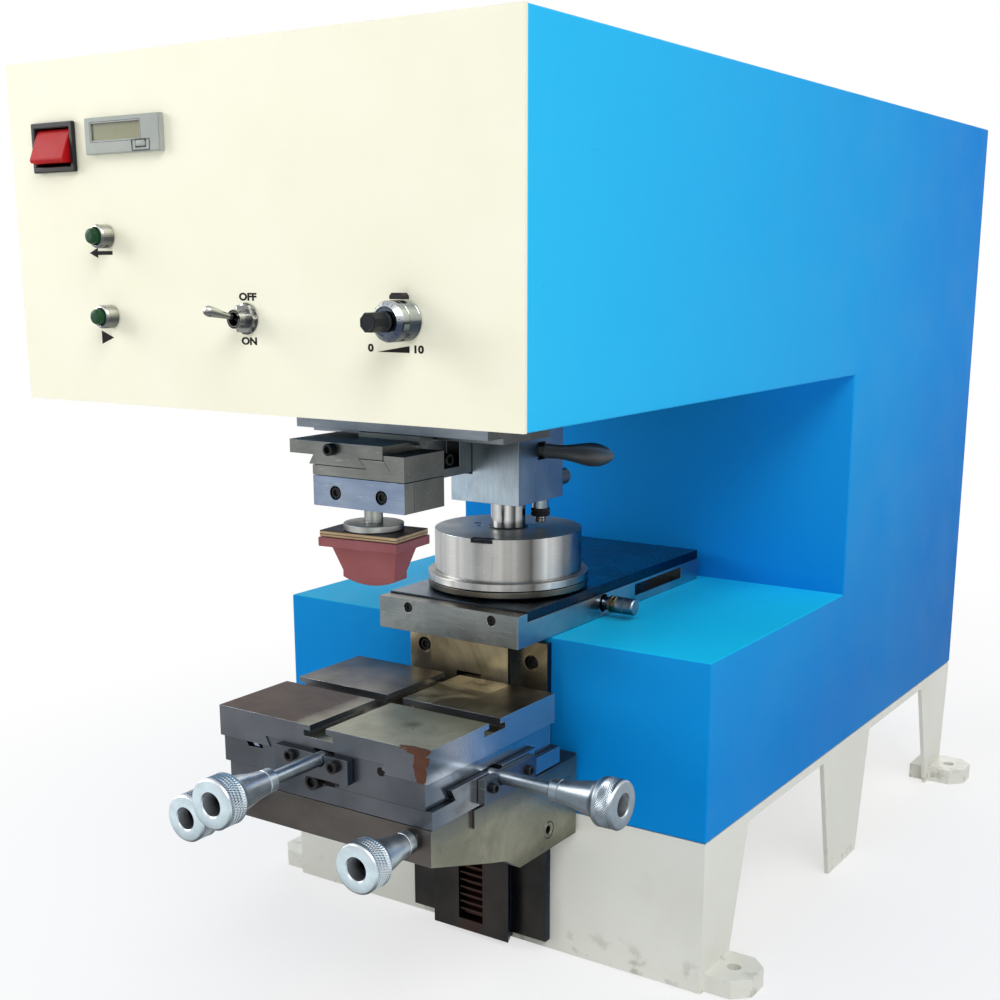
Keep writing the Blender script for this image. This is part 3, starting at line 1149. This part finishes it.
def print_slide():
    pivot("slide_pivot", (0, CUP_Y, SLIDE_BOTTOM), "machine")
    half, tail = SLIDE_HALF, SLIDE_TAIL_HALF
    outline = [(-half, SLIDE_FRONT), (half, SLIDE_FRONT), (half, SLIDE_BAR_BACK), (tail, SLIDE_BAR_BACK)]
    outline += [(tail, SLIDE_TAIL_BACK), (-tail, SLIDE_TAIL_BACK), (-tail, SLIDE_BAR_BACK),
                (-half, SLIDE_BAR_BACK)]
    plate = prism("slide_plate", outline, "z", SLIDE_BOTTOM, SLIDE_TOP, "slide_pivot", "aluminium")
    join(plate, box("join_slide_step", (-half, SLIDE_STEP_FRONT, SLIDE_PLATE_BOTTOM),
                    (half, SLIDE_BAR_BACK, SLIDE_BOTTOM + OVERRUN), "slide_pivot"))
    cut(plate, ram_rack_room("cut_plate_ram", SLIDE_PLATE_BOTTOM - OVERRUN, SLIDE_TOP + OVERRUN))
    for side in (-1, 1):
        cut(plate, rod(f"cut_plate_ram_rod_{side + 1}", RAM_ROD_RADIUS + SCREW_PLAY, "z",
                       (side * RAM_ROD_X, RAM_Y, 0),
                       SLIDE_PLATE_BOTTOM - OVERRUN, SLIDE_TOP + OVERRUN, "slide_pivot", None, SMALL_SIDES))
    bridge = box("slide_bridge", (-BRIDGE_HALF, BRIDGE_FRONT, SLIDE_TOP + GAP),
                 (BRIDGE_HALF, SLIDE_BAR_BACK, BRIDGE_TOP), "slide_pivot", "aluminium")
    for side in (-1, 1):
        cut(bridge, rod(f"cut_bridge_rod_{side + 1}", ROD_RADIUS + SCREW_PLAY, "y",
                        (side * ROD_X, 0, ROD_Z),
                        BRIDGE_FRONT - OVERRUN, SLIDE_BAR_BACK + OVERRUN, "slide_pivot"))
    join(bridge, slide_rack())


def slide_rack():
    teeth, root = rack_teeth(BRIDGE_FRONT, SLIDE_RACK_BACK, SLIDE_PINION_Y, SLIDE_RACK_PITCH_Z, -1)
    sunk, low = BRIDGE_TOP - OVERRUN, BRIDGE_TOP + GAP
    outline = [(BRIDGE_FRONT, sunk), (BRIDGE_FRONT, root)] + teeth + [(SLIDE_RACK_BACK, root),
                                                                      (SLIDE_RACK_BACK, low)]
    outline += [(SLIDE_BAR_BACK - OVERRUN, low), (SLIDE_BAR_BACK - OVERRUN, sunk)]
    return prism("join_slide_rack", outline, "x", -SLIDE_RACK_HALF, SLIDE_RACK_HALF, "slide_pivot")


MOUNT_FRONT = 0.026
MOUNT_REAR = 0.346
MOUNT_THICKNESS = 0.012
MOUNT_BOTTOM = 0.339
ROD_FRONT = 0.028


def rod_frame():
    """Two cross beams from side to side of the head, and the two round ways between them, as one."""
    left, right = HEAD_LEFT + SHEET + GAP, HEAD_RIGHT - SHEET - GAP
    beams = []
    for place in (MOUNT_FRONT, MOUNT_REAR):
        name = "rod_frame" if place == MOUNT_FRONT else "join_rear_beam"
        look = "aluminium" if place == MOUNT_FRONT else None
        beams.append(box(name, (left, place, MOUNT_BOTTOM), (right, place + MOUNT_THICKNESS, BRIDGE_TOP),
                         "machine", look))
    frame = join(*beams)
    for side in (-1, 1):
        join(frame, rod(f"join_way_{side + 1}", ROD_RADIUS, "y", (side * ROD_X, 0, ROD_Z), ROD_FRONT,
                        MOUNT_REAR + MOUNT_THICKNESS / 2, "machine"))


SLIDE_PINION_HALF = 0.0045
MOTOR_SHAFT_RADIUS = 0.003
MOTOR_SHAFT_DEPTH = 0.012
MOTOR_GAP = 0.002
SLIDE_MOTOR_RADIUS = 0.020
SLIDE_MOTOR_LENGTH = 0.068
MOTOR_PLATE_THICKNESS = 0.003
MOTOR_PLATE_HALF = 0.025


def slide_drive():
    radius = MODULE * SLIDE_PINION_TEETH / 2
    y, z = SLIDE_PINION_Y, SLIDE_RACK_PITCH_Z + radius
    pivot("slide_pinion_pivot", (0, y, z), "machine")
    shaft_end = SLIDE_PINION_HALF + MOTOR_GAP + MOTOR_SHAFT_DEPTH
    pinion = prism("slide_pinion", gear_outline(SLIDE_PINION_TEETH, (y, z), -math.pi / 2), "x",
                   -SLIDE_PINION_HALF,
                   SLIDE_PINION_HALF, "slide_pinion_pivot", "dark steel")
    join(pinion, rod("join_slide_pinion_shaft", MOTOR_SHAFT_RADIUS, "x", (0, y, z), 0, shaft_end,
                     "slide_pinion_pivot", None, SMALL_SIDES))
    start = SLIDE_PINION_HALF + MOTOR_GAP
    motor = rod("slide_motor", SLIDE_MOTOR_RADIUS, "x", (0, y, z), start + MOTOR_PLATE_THICKNESS / 2,
                start + SLIDE_MOTOR_LENGTH, "machine", "black oxide")
    join(motor, box("join_motor_plate", (start, y - MOTOR_PLATE_HALF, z - MODULE * SLIDE_PINION_TEETH / 2),
                    (start + MOTOR_PLATE_THICKNESS, y + MOTOR_PLATE_HALF, HEAD_TOP - SHEET - GAP),
                    "machine"))
    cut(motor, rod("cut_motor_bore", MOTOR_SHAFT_RADIUS + SCREW_PLAY, "x", (0, y, z), start - OVERRUN,
                   shaft_end + OVERRUN, "machine", None, SMALL_SIDES))


# Pad head on the print slide

RAM_Y = 0.104
RAM_RACK_HALF = 0.004
RAM_RACK_TOP = 0.373
RAM_ROD_X = 0.014
RAM_ROD_RADIUS = 0.004
RAM_ROD_TOP = 0.352
RAM_PLATE_BOTTOM = 0.299
RAM_PLATE_TOP = 0.306
RAM_PLATE_X = (-0.0447, 0.0162)
RAM_PLATE_BACK = 0.1095
RAM_NECK_HALF = 0.020
RAM_NECK_FRONT = 0.0975
RAM_NECK_TOP = 0.3087
RAM_WAY_TOP_X = (-0.029, 0.001)
RAM_WAY_BOTTOM_X = (-0.032, 0.0052)
RAM_WAY_BOTTOM = 0.2941
PAD_PINION_TEETH = 14
PAD_PINION_Z = 0.345
PAD_PINION_HALF = 0.0038
PAD_MOTOR_LENGTH = 0.022
PAD_MOTOR_START = 0.0215
PAD_MOTOR_HALF = 0.0125


def ram_rack_room(name, low, high):
    half = RAM_RACK_HALF + SCREW_PLAY
    return box(name, (-half, RAM_Y - half, low), (half, RAM_Y + half, high), "slide_pivot")


def pad_ram():
    pivot("ram_pivot", (0, RAM_Y, RAM_PLATE_TOP), "slide_pivot")
    plate = box("pad_ram", (RAM_PLATE_X[0], PAD_FRONT, RAM_PLATE_BOTTOM),
                (RAM_PLATE_X[1], RAM_PLATE_BACK, RAM_PLATE_TOP),
                "ram_pivot", "ground steel")
    way = [(RAM_WAY_TOP_X[0], RAM_PLATE_BOTTOM + OVERRUN), (RAM_WAY_TOP_X[0], RAM_PLATE_BOTTOM)]
    way += [(RAM_WAY_BOTTOM_X[0], RAM_WAY_BOTTOM), (RAM_WAY_BOTTOM_X[1], RAM_WAY_BOTTOM)]
    way += [(RAM_WAY_TOP_X[1], RAM_PLATE_BOTTOM), (RAM_WAY_TOP_X[1], RAM_PLATE_BOTTOM + OVERRUN)]
    join(plate, prism("join_ram_way", way, "y", PAD_FRONT, RAM_PLATE_BACK, "ram_pivot"))
    join(plate, box("join_ram_neck", (-RAM_NECK_HALF, RAM_NECK_FRONT, RAM_PLATE_TOP - OVERRUN),
                    (RAM_NECK_HALF, RAM_PLATE_BACK - GAP, RAM_NECK_TOP), "ram_pivot"))
    front, back = RAM_Y - RAM_RACK_HALF, RAM_Y + RAM_RACK_HALF
    low = RAM_NECK_TOP - OVERRUN
    start = SLIDE_TOP + GAP
    teeth, root = rack_teeth(start, RAM_RACK_TOP, PAD_PINION_Z, front + MODULE, 1)
    outline = [(front, low), (front, start), (root, start)] + [(depth, along) for along, depth in teeth]
    outline += [(root, RAM_RACK_TOP), (back, RAM_RACK_TOP), (back, low)]
    join(plate, prism("join_ram_rack", outline, "x", -RAM_RACK_HALF, RAM_RACK_HALF, "ram_pivot"))
    for side in (-1, 1):
        join(plate, rod(f"join_ram_rod_{side + 1}", RAM_ROD_RADIUS, "z", (side * RAM_ROD_X, RAM_Y, 0),
                        low, RAM_ROD_TOP, "ram_pivot", None, SMALL_SIDES))


def pad_drive():
    radius = MODULE * PAD_PINION_TEETH / 2
    y = RAM_Y - RAM_RACK_HALF + MODULE - radius
    pivot("pad_pinion_pivot", (0, y, PAD_PINION_Z), "slide_pivot")
    centre = (0, y, PAD_PINION_Z)
    pinion = prism("pad_pinion", gear_outline(PAD_PINION_TEETH, (y, PAD_PINION_Z), 0.0), "x",
                   -PAD_PINION_HALF,
                   PAD_PINION_HALF, "pad_pinion_pivot", "dark steel")
    shaft_end = PAD_MOTOR_START + MOTOR_SHAFT_DEPTH
    join(pinion, rod("join_pad_pinion_shaft", MOTOR_SHAFT_RADIUS, "x", centre, 0, shaft_end,
                     "pad_pinion_pivot", None,
                     SMALL_SIDES))
    low = (PAD_MOTOR_START, y - PAD_MOTOR_HALF, PAD_PINION_Z - PAD_MOTOR_HALF)
    high = (PAD_MOTOR_START + PAD_MOTOR_LENGTH, BRIDGE_FRONT - GAP, PAD_PINION_Z + PAD_MOTOR_HALF)
    motor = box("pad_motor", low, high, "slide_pivot", "black oxide")
    cut(motor, rod("cut_pad_motor_bore", MOTOR_SHAFT_RADIUS + SCREW_PLAY, "x", centre,
                   PAD_MOTOR_START - OVERRUN,
                   shaft_end + OVERRUN, "slide_pivot", None, SMALL_SIDES))


PAD_BLOCK_TOP = 0.3015
PAD_BLOCK_PLATE_X = 0.0168
PAD_BLOCK_PLAY = 0.0004
CLAMP_SPLIT_Y = 0.0797
STEM_TOP = 0.2875
DISC_RADIUS = 0.0155
DISC_BOTTOM = 0.2618
DISC_THICKNESS = 0.0033
PAD_TURN = math.radians(5.7)
PAD_BASE_HALF = (0.0231, 0.0152)
PAD_BASE_THICKNESS = 0.0032
PAD_RIM_HALF = (0.0237, 0.0160)
PAD_RIM_THICKNESS = 0.0048
PAD_BODY_TOP_HALF = (0.0196, 0.0106)
PAD_BODY_LOW_HALF = (0.0158, 0.0060)
PAD_BODY_LOW = 0.2397
PAD_FOOT = 0.2362


def pad_head():
    pivot("pad_pivot", (0, PAD_Y, CLAMP_TOP), "ram_pivot")
    floor = RAM_WAY_BOTTOM - GAP
    shelf = RAM_PLATE_BOTTOM - GAP
    half = PAD_BLOCK_HALF
    outline = [(-half, CLAMP_TOP + GAP), (half, CLAMP_TOP + GAP), (half, PAD_BLOCK_TOP),
               (PAD_BLOCK_PLATE_X, PAD_BLOCK_TOP)]
    outline += [(PAD_BLOCK_PLATE_X, shelf), (RAM_WAY_TOP_X[1] + PAD_BLOCK_PLAY, shelf)]
    outline += [(RAM_WAY_BOTTOM_X[1] + PAD_BLOCK_PLAY, floor), (-half, floor)]
    prism("pad_block", outline, "y", PAD_FRONT, PAD_BLOCK_BACK, "pad_pivot", "ground steel")
    cap = box("pad_clamp_front", (-half, PAD_FRONT, CLAMP_BOTTOM), (half, CLAMP_SPLIT_Y, CLAMP_TOP),
              "pad_pivot",
              "bright steel")
    rear = box("pad_clamp_rear", (-half, CLAMP_SPLIT_Y + GAP, CLAMP_BOTTOM),
               (half, PAD_BLOCK_BACK, CLAMP_TOP),
               "pad_pivot", "ground steel")
    bore = rod("cut_clamp_bore", STEM_RADIUS + GAP, "z", (0, PAD_Y, 0), CLAMP_BOTTOM - OVERRUN,
               STEM_TOP + GAP,
               "pad_pivot")
    cut(cap, bore)
    cut(rear, bore)
    disc_top = DISC_BOTTOM + DISC_THICKNESS
    stem = [(0, DISC_BOTTOM), (DISC_RADIUS, DISC_BOTTOM), (DISC_RADIUS, disc_top), (STEM_RADIUS, disc_top)]
    stem += [(STEM_RADIUS, STEM_TOP), (0, STEM_TOP)]
    turned("pad_stem", stem, "z", (0, PAD_Y, 0), "pad_pivot", "aluminium")
    base_top = DISC_BOTTOM - GAP
    base_low = base_top - PAD_BASE_THICKNESS
    base = box("pad_base", (-PAD_BASE_HALF[0], PAD_Y - PAD_BASE_HALF[1], base_low),
               (PAD_BASE_HALF[0], PAD_Y + PAD_BASE_HALF[1], base_top), "pad_pivot", "plywood")
    base.rotation_euler = (0, 0, PAD_TURN)
    pad(base_low - GAP)


def pad(top):
    """The silicone pad: a rim, a body that narrows downwards, an upright foot and a shallow round tip.

    It is clamped a little turned about its stem, with its wooden base.
    """
    low = top - PAD_RIM_THICKNESS
    width, depth = PAD_RIM_HALF
    rim = box("pad", (-width, PAD_Y - depth, low), (width, PAD_Y + depth, top), "pad_pivot", "silicone")
    rim.rotation_euler = (0, 0, PAD_TURN)
    wide, deep = PAD_BODY_TOP_HALF
    chord, foot = PAD_BODY_LOW_HALF
    rise = PAD_FOOT - PAD_TIP
    radius = (chord * chord + rise * rise) / (2 * rise)
    swing = math.asin(chord / radius)
    arc = circle_points(radius, 13, (0, PAD_TIP + radius), -math.pi / 2 - swing, -math.pi / 2 + swing)
    upper = low + OVERRUN
    outline = [(-wide, upper), (-wide, low), (-chord, PAD_BODY_LOW)] + arc
    outline += [(chord, PAD_BODY_LOW), (wide, low), (wide, upper)]
    points = []
    for side in (-1, 1):
        for x, z in outline:
            reach = deep if z >= low else foot
            points.append((x, PAD_Y + side * reach, z))
    count = len(outline)
    last = count - 1
    faces = [(0, 1, last - 1, last), (1, 2, last - 2, last - 1), tuple(range(2, last - 1))]
    faces += [tuple(count + i for i in face) for face in faces]
    faces += [(i, (i + 1) % count, (i + 1) % count + count, i + count) for i in range(count)]
    body = solid("join_pad_body", points, faces, "pad_pivot")
    body.rotation_euler = (0, 0, PAD_TURN)
    join(rim, body)


# Cup carrier, cup and its release lever

ARM_LEFT = -0.030
ARM_FRONT = 0.112
ARM_BOTTOM = 0.278
ARM_POCKET_Y = (0.138, 0.172)
ARM_POCKET_Z = (0.283, 0.299)
ARM_POCKET_DEPTH = 0.009
CARRIER_TOP = 0.3087
SHAFT_TOP = 0.2727
SHAFT_LIFT = 0.002
SHAFT_NECK_RADIUS = 0.0022
SHAFT_NECK_TOP = 0.2832
SHAFT_HEAD_RADIUS = 0.0060
SHAFT_HEAD_TOP = 0.2852
HEAD_ROOM = 0.0006
LEVER_ARM_HALF = 0.0020
LEVER_ARM_END = 0.0036
LEVER_SLOT_HALF = (0.0042, 0.0050)
LEVER_NECK_RADIUS = 0.0030
LEVER_COLLAR_X = 0.0262
LEVER_COLLAR_RADIUS = 0.0043
LEVER_WAIST_X = 0.034
LEVER_WAIST_RADIUS = 0.0040
LEVER_BULB_X = 0.055
LEVER_BULB_RADIUS = 0.0066
LEVER_SHOULDER_X = 0.0635
LEVER_SHOULDER_SHARE = 0.75
LEVER_TIP_X = 0.0695
PLUNGER_X = 0.0165
PLUNGER_Z = 0.271
PLUNGER_RADIUS = 0.005
PLUNGER_REACH = 0.012
PLUNGER_DEPTH = 0.006
PLUNGER_TRAVEL = 0.003
CUP_SCREW_PLACE = (0.0140, 0.0130)
CUP_SCREW_RADIUS = 0.0047
CUP_SCREW_TIP_RADIUS = 0.0025
CUP_SCREW_BOTTOM = 0.2502
CUP_SCREW_TIP = CUP_TOP + SHAFT_LIFT + GAP * 2


def cup_carrier():
    box_low = (ARM_LEFT, ARM_FRONT, ARM_BOTTOM)
    arm = box("cup_arm", box_low, (WEB_RIGHT, CARRIER_BACK, SLIDE_PLATE_BOTTOM - GAP), "slide_pivot",
              "ground steel")
    cut(arm, box("cut_arm_pocket", (WEB_RIGHT - ARM_POCKET_DEPTH, ARM_POCKET_Y[0], ARM_POCKET_Z[0]),
                 (WEB_RIGHT + OVERRUN, ARM_POCKET_Y[1], ARM_POCKET_Z[1]), "slide_pivot"))
    step = CARRIER_STEP_Z
    left = WEB_RIGHT + GAP
    outline = [(CARRIER_LEFT, CARRIER_BOTTOM), (CARRIER_RIGHT, CARRIER_BOTTOM),
               (CARRIER_RIGHT, CARRIER_TOP)]
    outline += [(left, CARRIER_TOP), (left, step), (CARRIER_LEFT, step)]
    carrier = prism("cup_carrier", outline, "y", CARRIER_FRONT, CARRIER_BACK, "slide_pivot", "ground steel")
    room = SHAFT_TOP + SHAFT_LIFT + HEAD_ROOM
    cut(carrier, rod("cut_shaft_bore", CUP_SHAFT_RADIUS + GAP, "z", (0, CUP_Y, 0),
                     CARRIER_BOTTOM - OVERRUN, room,
                     "slide_pivot"))
    top = SHAFT_HEAD_TOP + SHAFT_LIFT + HEAD_ROOM
    cut(carrier, rod("cut_head_bore", SHAFT_HEAD_RADIUS + HEAD_ROOM, "z", (0, CUP_Y, 0), SHAFT_TOP, top,
                     "slide_pivot",
                     None, SMALL_SIDES))
    wide, tall = LEVER_SLOT_HALF
    cut(carrier, box("cut_lever_slot", (LEVER_ARM_END - GAP, CUP_Y - wide, LEVER_Z - tall),
                     (CARRIER_RIGHT + OVERRUN, CUP_Y + wide, LEVER_Z + tall), "slide_pivot"))
    inner = (LEVER_ARM_END - GAP, CUP_Y - wide, SHAFT_NECK_TOP - LEVER_ARM_HALF * 3)
    outer = (LEVER_PIVOT_X + LEVER_ARM_HALF + HEAD_ROOM, CUP_Y + wide, LEVER_Z)
    cut(carrier, box("cut_lever_room", inner, outer, "slide_pivot"))
    place = (PLUNGER_X, CARRIER_BACK, PLUNGER_Z)
    cut(carrier, rod("cut_plunger_bore", PLUNGER_RADIUS + GAP, "y", place,
                     -PLUNGER_DEPTH - PLUNGER_TRAVEL - GAP, OVERRUN,
                     "slide_pivot", None, SMALL_SIDES))
    pivot("plunger_slide", place, "slide_pivot")
    rod("carrier_plunger", PLUNGER_RADIUS, "y", place, -PLUNGER_DEPTH, PLUNGER_REACH, "plunger_slide",
        "black oxide",
        SMALL_SIDES)
    shift_x, shift_y = CUP_SCREW_PLACE
    screw = [(0, CUP_SCREW_TIP), (CUP_SCREW_TIP_RADIUS, CUP_SCREW_TIP),
             (CUP_SCREW_TIP_RADIUS, CUP_SCREW_BOTTOM)]
    top = CARRIER_BOTTOM + CUP_SCREW_TIP_RADIUS
    screw += [(CUP_SCREW_RADIUS, CUP_SCREW_BOTTOM), (CUP_SCREW_RADIUS, CARRIER_BOTTOM - GAP)]
    screw += [(CUP_SCREW_TIP_RADIUS, CARRIER_BOTTOM - GAP), (CUP_SCREW_TIP_RADIUS, top), (0, top)]
    place = (shift_x, CUP_Y + shift_y, 0)
    join(carrier, turned("join_cup_screw", screw, "z", place, "slide_pivot", None, SMALL_SIDES))


def cup_lever():
    """The release lever. Its inner end lifts the shaft's head when the bulb is pressed down."""
    pivot("lever_pivot", (LEVER_PIVOT_X, CUP_Y, LEVER_Z), "slide_pivot")
    hub = LEVER_PIVOT_X
    profile = [(0, hub - LEVER_NECK_RADIUS), (LEVER_NECK_RADIUS, hub - LEVER_NECK_RADIUS),
               (LEVER_NECK_RADIUS, LEVER_COLLAR_X)]
    profile += [(LEVER_COLLAR_RADIUS, LEVER_COLLAR_X), (LEVER_WAIST_RADIUS, LEVER_WAIST_X)]
    profile += [(LEVER_BULB_RADIUS, LEVER_BULB_X),
                (LEVER_BULB_RADIUS * LEVER_SHOULDER_SHARE, LEVER_SHOULDER_X), (0, LEVER_TIP_X)]
    lever = turned("cup_lever", profile, "x", (0, CUP_Y, LEVER_Z), "lever_pivot", "aluminium", SMALL_SIDES)
    half = LEVER_ARM_HALF
    top = SHAFT_NECK_TOP - GAP
    low = top - half * 2
    arm = [(LEVER_ARM_END, low), (LEVER_ARM_END, top), (hub - half * 4, top), (hub - half, LEVER_Z)]
    arm += [(hub + half, LEVER_Z), (hub + half, low)]
    join(lever, prism("join_lever_arm", arm, "y", CUP_Y - half, CUP_Y + half, "lever_pivot"))


CUP_WALL = 0.0040
CUP_ROOF = 0.0045
CUP_NOTCH_HALF = 0.0065
CUP_NOTCH_DEPTH = 0.0055
CUP_NOTCH_ANGLE = math.radians(-77)
CUP_HOLE_PLACE = (-0.0154, -0.0070)
CUP_HOLE_RADIUS = 0.0015
RING_WALL = 0.0045


def ink_cup():
    pivot("cup_lift", (0, CUP_Y, PLATE_TOP), "slide_pivot")
    bottom = CUP_TOP + GAP
    shaft = [(0, bottom), (CUP_SHAFT_RADIUS, bottom), (CUP_SHAFT_RADIUS, SHAFT_TOP),
             (SHAFT_NECK_RADIUS, SHAFT_TOP)]
    shaft += [(SHAFT_NECK_RADIUS, SHAFT_NECK_TOP), (SHAFT_HEAD_RADIUS, SHAFT_NECK_TOP)]
    shaft += [(SHAFT_HEAD_RADIUS, SHAFT_HEAD_TOP), (0, SHAFT_HEAD_TOP)]
    turned("cup_shaft", shaft, "z", (0, CUP_Y, 0), "cup_lift", "bright steel")
    ring_low = PLATE_TOP + GAP
    ring_top = ring_low + RING_HEIGHT
    flange = ring_top + GAP
    body = flange + FLANGE_HEIGHT
    inner = CUP_RADIUS - CUP_WALL
    cup = [(inner, flange), (RING_RADIUS, flange), (RING_RADIUS, body), (CUP_RADIUS, body),
           (CUP_RADIUS, CUP_TOP)]
    cup += [(0, CUP_TOP), (0, CUP_TOP - CUP_ROOF), (inner, CUP_TOP - CUP_ROOF)]
    pot = turned("ink_cup", cup, "z", (0, CUP_Y, 0), "cup_lift", "aluminium", 48, True)
    reach = CUP_RADIUS - CUP_NOTCH_DEPTH
    side = (-math.sin(CUP_NOTCH_ANGLE), math.cos(CUP_NOTCH_ANGLE))
    notch = []
    for along, across in ((reach, -1), (CUP_RADIUS + OVERRUN, -1), (CUP_RADIUS + OVERRUN, 1), (reach, 1)):
        x = along * math.cos(CUP_NOTCH_ANGLE) + across * CUP_NOTCH_HALF * side[0]
        notch.append((x, CUP_Y + along * math.sin(CUP_NOTCH_ANGLE) + across * CUP_NOTCH_HALF * side[1]))
    cut(pot, prism("cut_cup_notch", notch, "z", CUP_TOP - CUP_ROOF / 2, CUP_TOP + OVERRUN, "cup_lift"))
    hole = (CUP_HOLE_PLACE[0], CUP_Y + CUP_HOLE_PLACE[1], 0)
    cut(pot, rod("cut_cup_hole", CUP_HOLE_RADIUS, "z", hole, CUP_TOP - CUP_ROOF - OVERRUN,
                 CUP_TOP + OVERRUN,
                 "cup_lift", None, SMALL_SIDES))
    ring = [(RING_RADIUS - RING_WALL, ring_low), (RING_RADIUS - RING_WALL / 2, ring_low),
            (RING_RADIUS, ring_low + GAP * 4)]
    ring += [(RING_RADIUS, ring_top), (RING_RADIUS - RING_WALL, ring_top)]
    turned("doctor_ring", ring, "z", (0, CUP_Y, 0), "cup_lift", "bright steel", 48, True)


# Inside the base

BOARD_HALF = 0.055
BOARD_BOTTOM = 0.200
BOARD_TOP = 0.300
BOARD_THICKNESS = 0.0016
BOARD_STAND_OFF = 0.010
BOARD_POST_RADIUS = 0.003
BOARD_POST_INSET = 0.006
SUPPLY_HALF = 0.045
SUPPLY_LENGTH = 0.100
SUPPLY_HEIGHT = 0.040
SUPPLY_INSET = 0.036
SUPPLY_BACK = DEPTH - SUPPLY_INSET


def electrics():
    wall = DEPTH - SHEET - GAP
    front = wall - BOARD_STAND_OFF - BOARD_THICKNESS
    board = box("control_board", (-BOARD_HALF, front, BOARD_BOTTOM),
                (BOARD_HALF, front + BOARD_THICKNESS, BOARD_TOP),
                "machine", "board green")
    places = [(x, z) for x in (-BOARD_HALF + BOARD_POST_INSET, BOARD_HALF - BOARD_POST_INSET)
              for z in (BOARD_BOTTOM + BOARD_POST_INSET, BOARD_TOP - BOARD_POST_INSET)]
    for count, (x, z) in enumerate(places):
        join(board, rod(f"join_board_post_{count}", BOARD_POST_RADIUS, "y", (x, 0, z),
                        front + BOARD_THICKNESS / 2, wall,
                        "machine", None, 12))
    low = STAND_TOP - STAND_SHEET / 2 + GAP
    box("power_supply", (-SUPPLY_HALF, SUPPLY_BACK - SUPPLY_LENGTH, low),
        (SUPPLY_HALF, SUPPLY_BACK, low + SUPPLY_HEIGHT),
        "machine", "bright steel")


def build():
    clear_scene()
    pivot("machine", (0, 0, 0))
    bpy.data.objects["machine"].location = (0, -ORIGIN_Y, 0)
    housing()
    rear_cover()
    power_inlet()
    stand()
    front_panel()
    rocker_switch()
    counter()
    push_button("reverse", REVERSE_Z)
    push_button("start", START_Z)
    toggle_switch()
    speed_dial()
    knee_guide()
    pivot("knee_slide", (0, GUIDE_FRONT, KNEE_TOP), "machine")
    knee_body()
    cross_shaft()
    knee_knobs()
    knee_top()
    cross_screw()
    saddle()
    table_knob()
    table()
    plate_holder()
    rod_frame()
    print_slide()
    slide_drive()
    pad_ram()
    pad_drive()
    pad_head()
    cup_carrier()
    cup_lever()
    ink_cup()
    electrics()


build()
